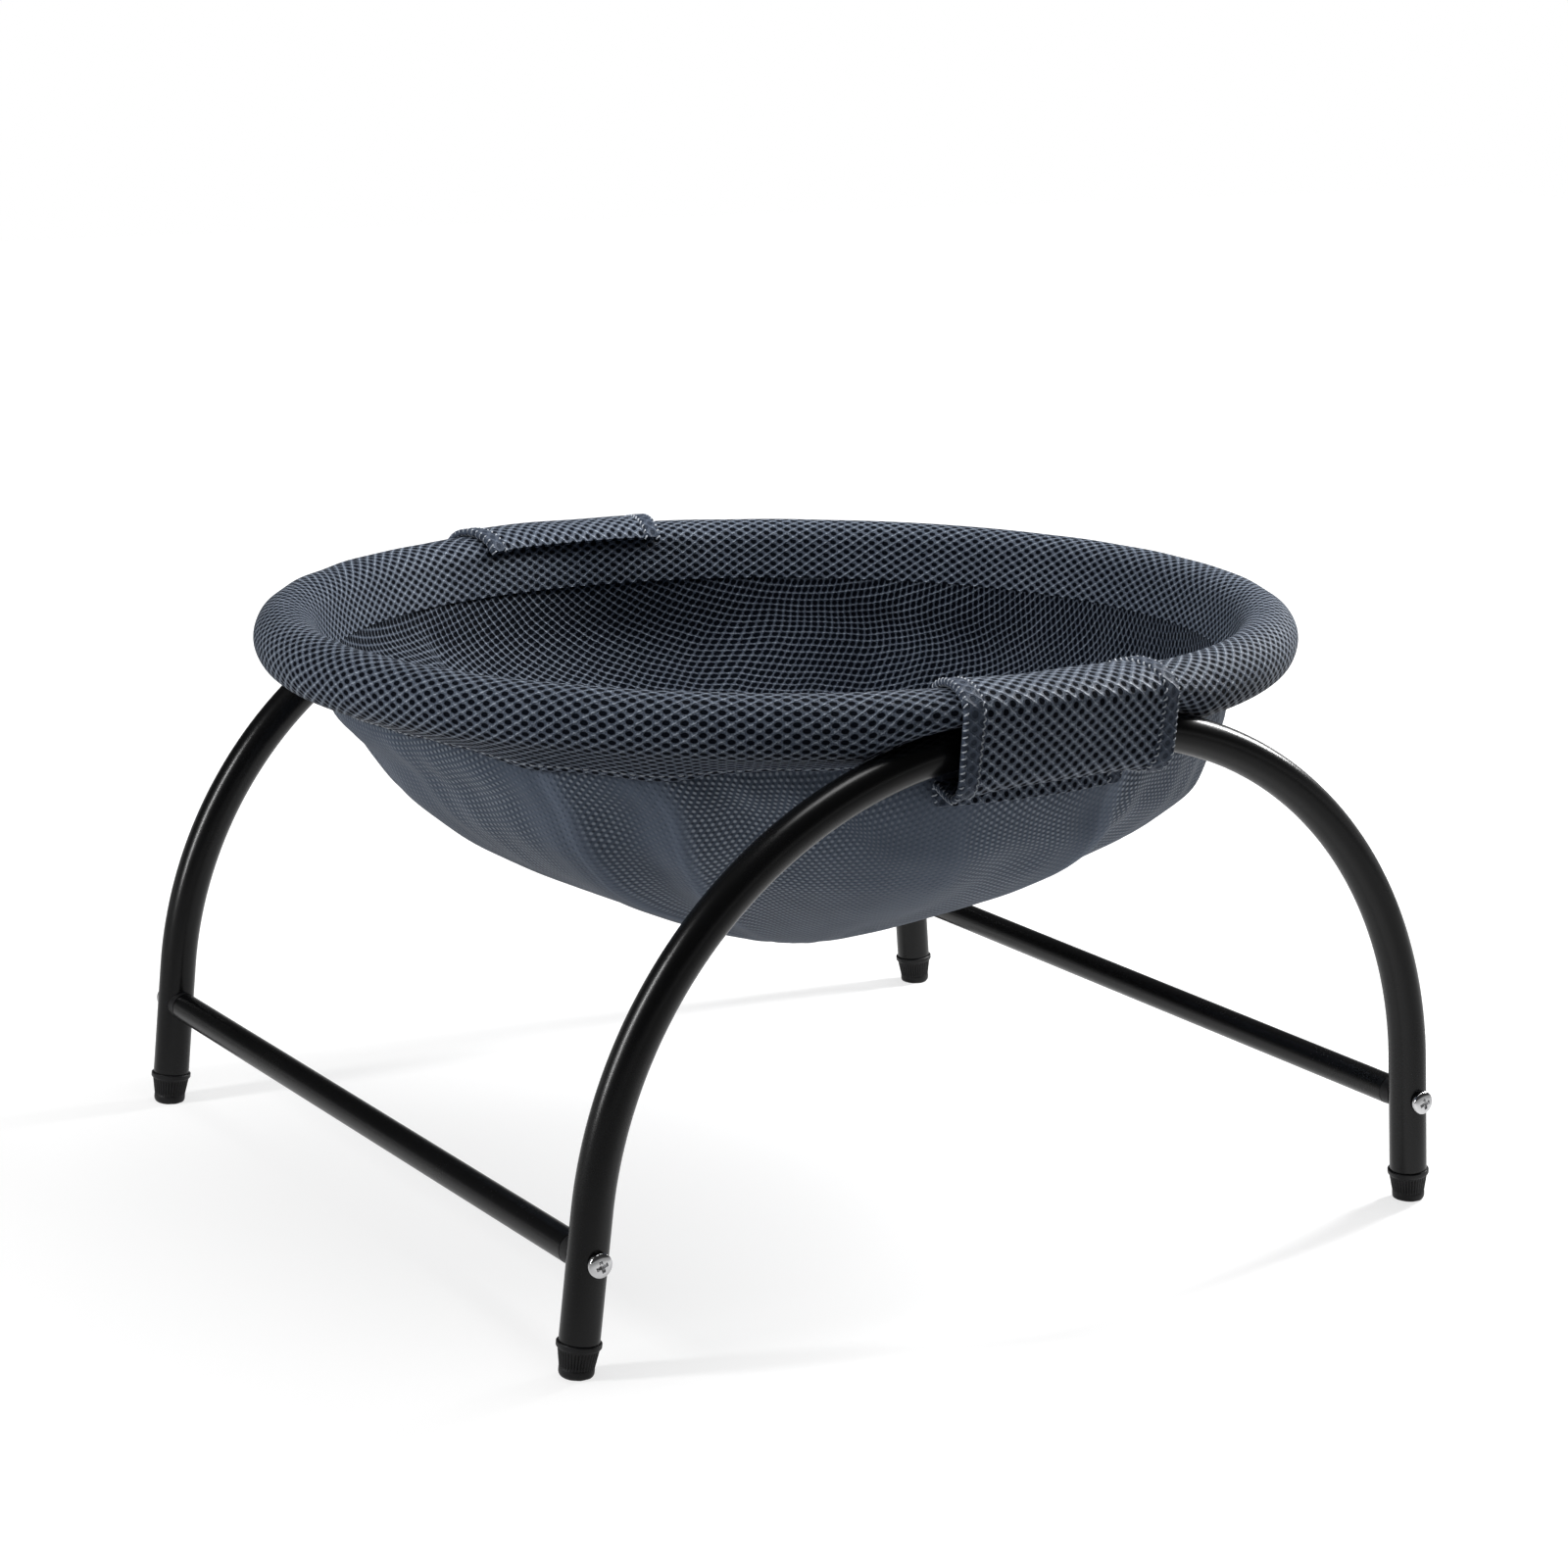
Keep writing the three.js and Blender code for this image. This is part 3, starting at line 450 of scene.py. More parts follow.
# Powder coat with a fine orange peel, moulded plastic with a matte grain, and mirror-bright nickel plate
paint = grained_finish("satin_black_powder_coat", (0.002, 0.0021, 0.0023), (0.0038, 0.0039, 0.0043),
                       (22.0, 3.0), (0.26, 0.08, 0.05), (0.02, 0.01), 0.2, (900.0, 2.0),
                       Specular_IOR_Level=0.3)
plastic = grained_finish("moulded_black_plastic", (0.004, 0.004, 0.0045), (0.01, 0.01, 0.011),
                         (120.0, 4.0), (0.45, 0, 0.2), (0, 0.05), 0.5, (1400.0, 3.0),
                         Specular_IOR_Level=0.25)
plate = grained_finish("bright_bolt_plate", (0.58, 0.58, 0.59), (0.74, 0.74, 0.75),
                       (500.0, 4.0), (0.13, 0.1, 0), (0.02, 0), 0.3, Metallic=1.0)
brass = turned_metal("turned_brass", (0.5, 0.36, 0.14), (0.72, 0.55, 0.27), 0.3, (1500.0, 60.0, 1500.0))
steel = turned_metal("drawn_steel_rod", (0.3, 0.31, 0.33), (0.48, 0.49, 0.51), 0.4, (700.0, 700.0, 700.0))
foam = cell_foam()
rim_mesh = mesh_finish("rim_mesh", RIM_PITCH, 4.25, 1.0, 0.68, 1.0)
strap_mesh = mesh_finish("strap_mesh", 6.1, 5.2, 1.18, 1.0, -1.0, lambda x: abs(x).step(40.0, 41.2))
lining_mesh = mesh_finish("lining_mesh", RIM_PITCH, 4.25, 1.2, 0.68, 1.0)
knit = knit_finish("fine_knit", 5.4, 3.4)
hook_tape = tape_finish("hook_tape", True)
loop_tape = tape_finish("loop_tape", False)
sewing = grained_finish("sewing_thread", (0.24, 0.27, 0.32), (0.56, 0.6, 0.66),
                        (1500.0, 2.0), (0.55, 0, 0), (0.1, 0), 0.6, Sheen_Weight=0.3)


# Frame of tube
def stand(points, rear):
    """Leans an arch's own plane outward and sets it at the front of the cot. The rear is the front turned
    half round."""
    x, y, z = np.moveaxis(points, -1, 0)
    y, z = y * math.cos(LEAN) - z * math.sin(LEAN) - ARCH_Y, y * math.sin(LEAN) + z * math.cos(LEAN)
    return np.stack([-x, -y, z] if rear else [x, y, z], -1)


def arch_line(s):
    """Point and upward normal of the arch's centreline in its plane, at distances s from its middle:
    straight over the crown, then a circular bend, then a straight leg along the bend's last direction."""
    a = np.abs(s)
    turn = np.clip((a - CROWN_HALF) / BEND_R, 0, BEND_TURN)
    leg = np.maximum(a - CROWN_HALF - BEND_R * BEND_TURN, 0)
    x = np.minimum(a, CROWN_HALF) + BEND_R * np.sin(turn) + leg * np.cos(turn)
    z = ARCH_TOP - BEND_R * (1 - np.cos(turn)) - leg * np.sin(turn)
    side = np.sign(s)
    return np.stack([side * x, z], -1), np.stack([side * np.sin(turn), np.cos(turn)], -1)


def arch(rear, name, rings=260, sides=56):
    """The bent tube: a circle carried along the arch's line, outside one way and back through the bore."""
    half = CROWN_HALF + BEND_R * BEND_TURN + (LEG_TOP - FOOT_H * math.cos(SPLAY)) / math.cos(SPLAY)
    centre, normal = arch_line(np.linspace(-half, half, rings))
    turn = full_turn(sides)
    def skin(radius):
        up = radius * np.cos(turn)
        x, z = (centre[:, None, k] + normal[:, None, k] * up for k in (0, 1))
        return np.stack([x, np.broadcast_to(radius * np.sin(turn), x.shape), z], -1)
    grid = np.concatenate([skin(TUBE_R), skin(TUBE_BORE_R)[::-1]])
    return surface(name, stand(grid, rear), ring_rows=True)


def along_leg(points, side, rear):
    """Sets points of (x, y, z) about a leg's line, with y up the leg from the floor, in the frame."""
    outward, up, across = points[..., 0], points[..., 1], points[..., 2]
    x = side * (FOOT_X - up * math.sin(SPLAY) + outward * math.cos(SPLAY))
    z = up * math.cos(SPLAY) + outward * math.sin(SPLAY)
    return stand(np.stack([x, across, z], -1), rear)


def foot_plug(side, rear, name, ribs=38):
    """A plug with a collar under the tube's end, a tapered grip of fine upright ribs, and a rounded sole
    that the floor cuts flat. Ribs: the radius drops by a raised cosine of the angle between collar and
    sole."""
    grip_low, grip_high, grip_r, taper, rib_deep = 3.4, 11.2, 6.85, 0.165, 0.42
    stem = [(0.01, 29.0), (5.6, 29.0), (6.3, 21.0), (5.9, 20.8), (5.9, 13.7)]
    collar = [(8.6, 13.7), (8.85, 13.4), (8.85, 11.9), (8.6, 11.5), (8.2, 11.3)]
    grip = [(grip_r + (h - grip_low) * taper, h) for h in np.linspace(grip_high, grip_low, 16)]
    curve = [(4.75 + 2.2 * math.cos(t), 1.9 - 2.5 * math.sin(t)) for t in np.linspace(0, math.pi / 2, 8)]
    sole = [(6.95, 3.2), (6.95, 2.6), *curve, (3.0, -0.8), (0.01, -0.8)]
    def ribbed(radius, height, angle):
        inside = smooth(height, grip_low, 4.2) * smooth(height, 11.3, 10.7) * (radius > 6)
        return radius - rib_deep * inside * (0.5 - 0.5 * np.cos(ribs * angle)) ** 1.5, height
    grid = along_leg(revolve(stem + collar + grip + sole, ribs * 6, ribbed), side, rear)
    grid[..., 2] = np.maximum(grid[..., 2], 0)
    return surface(name, grid, poles=True)


def beside_leg(points, side, rear):
    """Sets points about the bolt's line, with y from the leg towards the bar, in the frame."""
    return stand(points + [side * BAR_X, 0, BAR_Z], rear)


def bolt(side, rear, name, sides=144):
    """A pan-head bolt. The dome is half a flattened ellipse, and the cross recess sinks where a point lies
    in one of two crossed arms, deepest at the middle."""
    head_r, head_h, shank_r, tip = 5.0, 3.2, 2.5, PLUG_SEAT + 14.0
    seat, turn = -TUBE_R - SEAT_GAP, math.radians(20)
    r, a = np.meshgrid(np.linspace(0, 1, 60) ** 0.85 * head_r, full_turn(sides), indexing="ij")
    across, up = np.abs(r * np.cos(a - turn)), np.abs(r * np.sin(a - turn))
    arm = lambda u, v: smooth(u, 0.78, 0.55) * smooth(v, 2.6, 2.2)
    recess = np.maximum(arm(across, up), arm(up, across)) * (1.9 - 0.42 * r)
    dome = seat - head_h / 2 - head_h / 2 * np.sqrt(np.clip(1 - (r / head_r) ** 2.4, 0, 1)) + recess
    head = np.stack([r * np.cos(a), dome, r * np.sin(a)], -1)
    under_head = [(head_r, seat - 0.25), (4.8, seat), (shank_r, seat)]
    shank = under_head + [(shank_r, tip - 0.8), (2.0, tip), (0.01, tip)]
    grid = np.concatenate([head[1:], revolve(shank, sides)])
    return surface(name, beside_leg(grid, side, rear), poles=True, crease=50)


def saddle_plug(side, rear, name):
    """The plug in a bar's end. Its face is hollowed to the leg: the face lies at the root of the leg's
    radius squared less the distance from the leg's line squared. Its stem has a pocket for the threaded
    insert."""
    bolt_hole, stem_r, pocket_r, stem_end, pocket_end = 2.8, 4.75, 4.0, 26.8, 19.0
    face = [(r, 0.0) for r in np.linspace(bolt_hole, BAR_R, 7)]
    profile = face + [(BAR_R, PLUG_SEAT), (stem_r, PLUG_SEAT), (stem_r, stem_end), (pocket_r, stem_end),
                      (pocket_r, pocket_end), (bolt_hole, pocket_end)]
    def hollow(radius, height, angle):
        aside = radius * np.cos(angle) * side * math.cos(SPLAY) + radius * np.sin(angle) * math.sin(SPLAY)
        against = np.sqrt((TUBE_R + SEAT_GAP) ** 2 - aside ** 2)
        return radius, np.where(np.arange(len(profile))[:, None] < len(face), against, height)
    return surface(name, beside_leg(revolve(profile, 72, hollow), side, rear), ring_rows=True)


def cross_bar(side, name):
    """A straight tube between two saddle plugs, its ends barely broken."""
    half, soft = ARCH_Y + BAR_Z * math.tan(LEAN) - PLUG_SEAT - SEAT_GAP, 0.25
    profile = [(BAR_BORE_R, -half), (BAR_R - soft, -half), (BAR_R, soft - half), (BAR_R, half - soft),
               (BAR_R - soft, half), (BAR_BORE_R, half)]
    return surface(name, revolve(profile, 48) + [side * BAR_X, 0, BAR_Z], ring_rows=True)


for rear, end in ENDS:
    dress(arch(rear, end + "_arch"), paint, nodes=[end + "_arch_tube"])
    for side, label in SIDES:
        side, corner = -side if rear else side, f"{end}_{label}"
        foot = foot_plug(side, rear, corner + "_foot")
        dress(foot, plastic, nodes=[corner + "_foot_plug"])
        dress(bolt(side, rear, corner + "_pan_bolt"), plate, nodes=[corner + "_bolt"])
        saddle = saddle_plug(side, rear, corner + "_saddle")
        dress(saddle, plastic, nodes=[corner + "_saddle_plug"])
for side, label in SIDES:
    dress(cross_bar(side, label + "_bar"), paint, nodes=[label + "_cross_bar"])
for node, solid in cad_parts.items():
    finish = brass if "insert" in node else steel if "hoop_rod" in node else None
    if finish:
        solid.data.materials.clear()
        solid.data.materials.append(finish)


# Padded rim
class Rim:
    """Cross sections of the rim at angles round the hoop, drawn in p outward and q up from the hoop's line.
    The section is a circle, but over an arch its underside rests on the tube and it becomes an oval: half as
    high as what is left of it, and wider by a share of the height that it lost."""

    def __init__(self, angle):
        self.angle = angle
        x, y = HOOP_X * np.cos(angle), HOOP_Y * np.sin(angle)
        self.centre = np.stack([x, y], -1)
        self.outward = unit(np.stack([np.cos(angle) / HOOP_X, np.sin(angle) / HOOP_Y], -1))
        to_tube = ARCH_Y + self.crown(x) * math.tan(LEAN) - np.abs(y)
        self.tube_p = to_tube / np.maximum(np.abs(self.outward[:, 1]), 1e-6)
        self.tube_q = self.crown(x + np.clip(self.tube_p, -400, 400) * self.outward[:, 0]) - RIM_Z
        reach = (TUBE_R + REST_GAP + RIM_R) ** 2 - self.tube_p ** 2
        low = np.where(reach > 0, self.tube_q + np.sqrt(np.maximum(reach, 0)) - RIM_R, -RIM_R)
        low = np.maximum(low, -RIM_R)
        self.tall = (RIM_R - low) / 2
        self.wide = RIM_R + (RIM_R - self.tall) * BULGE_SHARE
        self.middle = (RIM_R + low) / 2

    def crown(self, x):
        """Height of the arch's centreline over x, and 0 past its bend."""
        past = np.maximum(np.abs(x) - CROWN_HALF, 0)
        return np.where(past < BEND_R, ARCH_TOP - BEND_R + np.sqrt(np.maximum(BEND_R ** 2 - past ** 2, 0)), 0)

    def normal(self, turn):
        """The oval's outward normal at a turn round it."""
        return unit(np.stack([self.tall[:, None] * np.cos(turn), self.wide[:, None] * np.sin(turn)], -1))

    def oval(self, turn, offset):
        """The oval's point at a turn round it, moved out by an offset."""
        p, q = self.wide[:, None] * np.cos(turn), self.middle[:, None] + self.tall[:, None] * np.sin(turn)
        return np.stack([p, q], -1) + offset * self.normal(turn)

    def place(self, path):
        """Sets points (p, q) of each section in the frame."""
        p, q = path[..., 0], path[..., 1]
        flat = self.centre[:, None] + p[..., None] * self.outward[:, None]
        return np.concatenate([flat, (RIM_Z + q)[..., None]], -1)


def from_folds(angle):
    """The signed turn from each fold to an angle, in half widths of a fold."""
    return np.angle(np.exp(1j * (angle[..., None] - FOLD_ANGLES))) / FOLD_HALF


def fold_strength(angle):
    """How strongly the bed's folds show at an angle: a bell curve about each fold."""
    return (FOLD_SHARES * np.exp(-from_folds(angle) ** 2)).sum(-1)


def ripple(angle, seed, low, high, count=14):
    """A closed wandering line round the rim: a sum of cosines with whole numbers of waves and set phases."""
    rng = np.random.default_rng(seed)
    waves = rng.integers(low, high, count)
    phases = rng.uniform(0, 2 * math.pi, count)
    return np.cos(angle[..., None] * waves + phases).sum(-1) / math.sqrt(count)


def around(values, reach):
    """Evens values out round a ring with a bell curve."""
    k = np.arange(-3 * reach, 3 * reach + 1)
    weights = np.exp(-(k / reach) ** 2)
    return sum(w * np.roll(values, s) for w, s in zip(weights / weights.sum(), k))


def bowl_wall(rim, q):
    """How far in from the hoop's line the middle of the bed's cloth lies at height q: from beside the rim
    down to the wall in two straight runs, then straight down."""
    top = rim.wide + SEAT_GAP + SHELL_HALF
    waist_in, waist_q = (top + WALL_IN) / 2, -HEM_DROP / 2
    upper = waist_in + (top - waist_in) * ((q - waist_q) / (rim.middle - waist_q))
    lower = WALL_IN + (waist_in - WALL_IN) * ((q + HEM_DROP) / (waist_q + HEM_DROP))
    return np.where(q > waist_q, upper, np.where(q > -HEM_DROP, lower, WALL_IN))


rim = Rim(full_turn(STATIONS))
HOOP_LENGTH = np.linalg.norm(rim.centre - np.roll(rim.centre, 1, 0), axis=1).sum()


def first_turn(rim, target, turns, clear=None):
    """The first of the turns round the oval from which a straight line to the target only grazes it, and
    keeps its distance from the tube."""
    turns_each = np.broadcast_to(turns, (len(rim.angle), len(turns)))
    start = rim.oval(turns_each, -COVER_THICK / 2)
    line = target[:, None] - start
    ahead = (line * rim.normal(turns_each)).sum(-1) >= 0
    if clear is not None:
        to_tube = np.stack([rim.tube_p, rim.tube_q], -1)[:, None] - start
        share = np.clip((to_tube * line).sum(-1) / (line ** 2).sum(-1), 0, 1)
        ahead &= np.linalg.norm(to_tube - share[..., None] * line, axis=-1) >= clear
    return turns[np.argmax(ahead, 1)]


def straight(start, end, count):
    """Points spaced evenly on the straight line from each start to its end."""
    return start[:, None] + (end - start)[:, None] * np.linspace(0, 1, count)[None, :, None]


def cover_path(rim):
    """The middle of the rim's cloth: from its seam inside the bed straight up to the padded roll, round it,
    and from its underside straight down behind the tube to the wavy hem."""
    lap_gap, hem_wander, hem_out, lump = 0.15, 0.35, 0.7, 0.16
    strength = fold_strength(rim.angle)
    inner = bowl_wall(rim, LAP_Q) + BED_THICK / 2 + lap_gap + COVER_THICK / 2
    seam = np.stack([-inner, np.full_like(inner, LAP_Q)], -1)
    joins = around(first_turn(rim, seam, np.radians(np.arange(100, 200, 0.5))), 3)
    hem_q = -HEM_DROP - HEM_DIP * strength + hem_wander * ripple(rim.angle, 5, 20, 60)
    hem = np.stack([-HEM_IN + hem_out * np.minimum(strength, 1), hem_q], -1)
    behind = TUBE_R + TUCK_GAP + SHELL_HALF
    leaves = around(first_turn(rim, hem, np.radians(np.arange(0, -180, -0.5)), behind), 2)
    share = np.linspace(0, 1, 60)
    turn = joins[:, None] + (leaves - joins)[:, None] * share
    arc = rim.oval(turn, -COVER_THICK / 2)
    upper, skirt = straight(seam, arc[:, 0], 9)[:, :-1], straight(arc[:, -1], hem, 18)[:, 1:]
    lumps = lump * ripple(rim.angle, 3, 9, 40)[:, None] * np.sin(math.pi * share)
    return np.concatenate([upper, arc + lumps[..., None] * rim.normal(turn), skirt], 1)


cover_line = cover_path(rim)
cover_normal = left_of(unit(np.gradient(cover_line, axis=1)))


def rim_cover():
    """The cloth of the rim as a closed skin: its path pushed out by half a thickness along the path's
    normal, round the folded hem, and back along the inside."""
    steps = np.linalg.norm(np.diff(cover_line, axis=1), axis=-1)
    run = np.concatenate([np.zeros((STATIONS, 1)), np.cumsum(steps, 1)], 1)
    to_hem = run[:, -1:] - run
    half = COVER_THICK / 2 * (0.25 + 0.75 * smooth(run, 0, 5)) * rounded(to_hem, 0.6, 0.05)
    fold = 0.45 * smooth(to_hem, 4.6, 3.6) * smooth(to_hem, 0.0, 0.8)
    out = cover_line + cover_normal * (half + fold)[..., None]
    back = cover_line - cover_normal * half[..., None]
    ring = np.concatenate([out, back[:, ::-1]], 1)
    u = np.arange(STATIONS + 1) / STATIONS * RIM_PITCH * round(HOOP_LENGTH / RIM_PITCH)
    v = closed(closed(np.concatenate([run, run[:, ::-1]], 1)).T)
    uv = np.stack([np.broadcast_to(u, v.shape), v], -1)
    made = surface("rim_sleeve_cover", np.moveaxis(rim.place(ring), 0, 1), uv, ring_rows=True)
    return made, run[:, -1].mean()


def foam_sleeve():
    """The foam sleeve: the rim's oval a little smaller, in through a slit on its inner side, round the
    hoop's bore and out again."""
    inset, bore_r, slit, bore_slit = 3.0, 3.8, 0.06, 0.16
    turn = np.linspace(math.pi - slit, slit - math.pi, 44)
    outer = rim.oval(np.broadcast_to(turn, (STATIONS, len(turn))), -inset)
    bore = np.linspace(bore_slit - math.pi, math.pi - bore_slit, 20)
    inner = np.stack([bore_r * np.cos(bore), bore_r * np.sin(bore)], -1)
    inner = inner + np.stack([np.zeros(STATIONS), rim.middle], -1)[:, None]
    ring = np.concatenate([outer, inner], 1)
    return surface("foam_sleeve", np.moveaxis(rim.place(ring), 0, 1), ring_rows=True)


cover, cover_width = rim_cover()
dress(cover, rim_mesh, nodes=["rim_cover"])
foam_piece = dress(foam_sleeve(), foam, nodes=["rim_foam"])


# Bed
def fold_shape(angle):
    """The folds' relief: a bell curve whose far side falls more steeply where the cloth laps over, with a
    shallow valley beyond it."""
    away = from_folds(angle)
    steep = np.where(away > 0, 1 + 1.7 * FOLD_LEAN, 1.0)
    ridge = np.exp(-np.abs(away * steep) ** np.where(FOLD_LEAN > 0.2, 1.2, 2.0))
    valley = -0.55 * np.exp(-((away - 1.1) / 0.8) ** 2)
    return (FOLD_SHARES * (ridge + valley)).sum(-1)


def lean_light(angle):
    """Painted light and shade about the folds: where each fold's near side is lit before its edge, and where
    its far side lies in shade just beyond it.
    """
    away = from_folds(angle)
    lit_side = FOLD_SHARES * np.exp(-((away + 0.35) / 0.5) ** 2)
    beyond = FOLD_LEAN * (away > 0) * (1 - np.exp(-(away / 0.15) ** 2)) * np.exp(-(away / 1.1) ** 2)
    return lit_side.sum(-1), beyond.sum(-1)


def bed_lines(section, rows):
    """The bed's lines before its folds (rows, columns, 3), and the distance run down them: from under the
    rim, along the wall and in to the lowest point, on depth shares smoothed along the line."""
    columns = len(section.angle)
    wall = section.centre - WALL_IN * section.outward
    knots = []
    for q in (-8.0, -12.0, -HEM_DROP, -27.0, -WALL_DROP):
        knots.append((section.centre - bowl_wall(section, q)[:, None] * section.outward, RIM_Z + q))
    for share, depth in BOWL_SHARES[1:]:
        knots.append((wall * share, RIM_Z - WALL_DROP - BOWL_DEPTH * depth))
    knots = np.stack([np.column_stack([flat, np.full(columns, z)]) for flat, z in knots])
    run = np.concatenate([[0], np.cumsum(np.linalg.norm(np.diff(knots, axis=0), axis=-1).mean(1))])
    at = np.linspace(0, run[-1], rows)
    k = np.clip(np.searchsorted(run, at, "right") - 1, 0, len(run) - 2)
    share = ((at - run[k]) / (run[k + 1] - run[k]))[:, None, None]
    lines = knots[k] + (knots[k + 1] - knots[k]) * share
    for _ in range(8):
        past = np.concatenate([2 * lines[:1] - lines[1:2], lines, np.roll(lines[-2:-1], columns // 2, 1)])
        lines = 0.25 * past[:-2] + 0.5 * past[1:-1] + 0.25 * past[2:]
    lines[-1] = lines[-1].mean(0)
    return lines, at


def bed(rows=84, columns=590):
    """The bed as one closed cloth shell. Folds and fine wrinkles move its lines along their normal, less
    beside the straps and near the rim, and half the thickness each way gives the two faces. The flat pattern
    of the cloth keeps each point's distance from the middle along the line."""
    angle = full_turn(columns)
    section = Rim(angle)
    base, at = bed_lines(section, rows)
    reach, deep, part = at[-1], at[:, None], at[:, None] / at[-1]
    strapped = smooth(np.abs(base[:1, :, 0]), 96, 48)
    held = np.maximum(strapped, 0.8 * np.maximum(unit(SAG[:2]) @ section.outward.T, 0))
    base = base + SAG * smooth(deep, 10 + 26 * held, 42 + 40 * held)[..., None]
    down = unit(np.gradient(base, axis=0) + 1e-9)
    ringwise = unit(np.roll(base, -1, 1) - np.roll(base, 1, 1) + 1e-9)
    normal = unit(np.cross(down, ringwise) + 1e-12)
    normal[-1] = [0, 0, -1]
    normal *= np.sign((normal * (base - [0, 0, RIM_Z])).sum(-1).mean())
    folded = smooth(deep, 6 + 30 * strapped, 45 + 35 * strapped) * smooth(part, 0.86, 0.3)
    under_hem = smooth(deep, 10 + 26 * strapped, 22 + 30 * strapped) * smooth(part, 0.5, 0.15)
    calm = smooth(deep, 14 + 26 * strapped, 60 + 30 * strapped) * smooth(part, 1.0, 0.6)
    relief = FOLD_DEPTH * folded * fold_shape(angle)
    relief += 0.5 * under_hem * ripple(angle, 11, 24, 70) + 0.7 * calm * ripple(angle, 17, 7, 26)
    base = base + relief[..., None] * normal
    half = BED_THICK / 2 * rounded(at, 0.6, 0.1)[:, None, None]
    grid = np.concatenate([(base + half * normal)[::-1], base - half * normal])[1:-1]
    from_middle = np.concatenate([(reach - at)[::-1], reach - at])[1:-1, None]
    turn = np.append(angle, 2 * math.pi)
    uv = np.stack([from_middle * np.cos(turn), from_middle * np.sin(turn)], -1)
    made = surface("hammock_bed", grid, uv, poles=True)
    made.data.materials.append(knit)
    made.data.materials.append(lining_mesh)
    inside = np.repeat([0, 1], rows)[1:-1]
    pick = np.repeat(np.append(inside[:-1] * inside[1:], [0, 1]), columns)
    made.data.polygons.foreach_set("material_index", pick.astype(np.int32))
    # Painted highlight along each leaning fold's edge
    fold_edge_highlight = np.exp(-(from_folds(angle) * FOLD_HALF / math.radians(1.1)) ** 2)
    wear_and_highlight = (FOLD_LEAN * fold_edge_highlight).sum(-1) * smooth(part, 0.75, 0.35) * smooth(deep, 8, 20)
    # hollow is painted shade: low on each fold's lit side, high just past its edge, wandering a little round
    # the bed
    lit, shaded = lean_light(angle)
    hollow = np.clip(0.42 - 0.55 * lit + 0.6 * shaded + 0.12 * ripple(angle, 23, 5, 14), 0, 1)
    for key, values in (("hollow", hollow * smooth(part, 0.95, 0.4)), ("edge", wear_and_highlight)):
        shown = np.append(np.concatenate([values[::-1], values])[1:-1], [0, 0])
        made.data.attributes.new(key, "FLOAT", "POINT").data.foreach_set("value", shown.astype(np.float32))
    return made, reach


bed_piece, bed_reach = bed()
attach(bed_piece, "cot")
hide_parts("bed_bowl")


# Straps
def strap_columns():
    """Places across a strap, closer together in the hems and at the rounded edge."""
    field = np.linspace(-41, 41, 42)
    edge = STRAP_HALF - 0.9 * (1 - np.sin(np.linspace(0.12, 1, 6) * math.pi / 2))
    hem = np.concatenate([np.linspace(41.5, 49, 14), edge])
    return np.concatenate([-hem[::-1], field, hem])


def strap_line(section, k, even_reach=6):
    """A strap's path in one section: the hull of the rim and a loose loop round the tube, from the roll's
    inner top to where the pull to the wall leaves the loop, then straight to the wall and down it, with its
    corners evened out."""
    wall = np.array([-TAIL_IN, -TAIL_WALL_DROP])
    loop = np.array([section.tube_p[k] + LOOP_OUT, section.tube_q[k] - LOOP_DOWN + LOOP_SLANT * strap_x[k]])
    reach = wall - loop
    leave = math.atan2(reach[1], reach[0]) + math.acos(LOOP_R / np.hypot(*reach))
    turn = np.linspace(math.radians(162), leave, 500)
    way = np.stack([np.cos(turn), np.sin(turn)], -1)
    facing = np.arctan2(section.tall[k] * np.sin(turn), section.wide[k] * np.cos(turn))
    on_rim = Rim(section.angle[k:k + 1]).oval(facing[None], STRAP_OFF)[0]
    on_loop = loop + LOOP_R * way
    hull = np.where(((on_rim * way).sum(1) > (on_loop * way).sum(1))[:, None], on_rim, on_loop)
    even, _ = resample(np.concatenate([hull, [wall, [-TAIL_IN, -TAIL_DROP]]]), 400)
    padded = np.pad(even, ((even_reach, even_reach), (0, 0)), "edge")
    window = np.ones(2 * even_reach + 1) / (2 * even_reach + 1)
    soft = np.stack([np.convolve(padded[:, c], window, "valid") for c in (0, 1)], 1)
    soft[0], soft[-1] = even[0], even[-1]
    return soft


strap_x = strap_columns()
strap_section = Rim(-np.arccos((STRAP_ASIDE + strap_x * STRAP_NARROW) / HOOP_X))
strap_paths = [strap_line(strap_section, k) for k in range(len(strap_x))]
strap_lengths = np.array([distance(path)[-1] for path in strap_paths])
strap_ends = strap_lengths - corner_cut(strap_x, STRAP_HALF, STRAP_CORNER)


def turn_rear(points, rear):
    """The rear strap is the front one turned half round."""
    return points * [-1, -1, 1] if rear else points


def strip(name, section, across, faces, along, rear):
    """A closed strip of cloth between its two faces, each given as points (p, q) of its sections, with
    millimetres across and along it as its marks."""
    out, back = (np.moveaxis(section.place(face), 0, 1) for face in faces)
    v = closed(np.concatenate([along.T, along.T[::-1]]))
    uv = np.stack([np.broadcast_to(across, v.shape), v], -1)
    grid = turn_rear(np.concatenate([out, back[::-1]]), rear)
    return surface(name, grid, uv, ring_rows=True, ring_columns=False, zips=True)


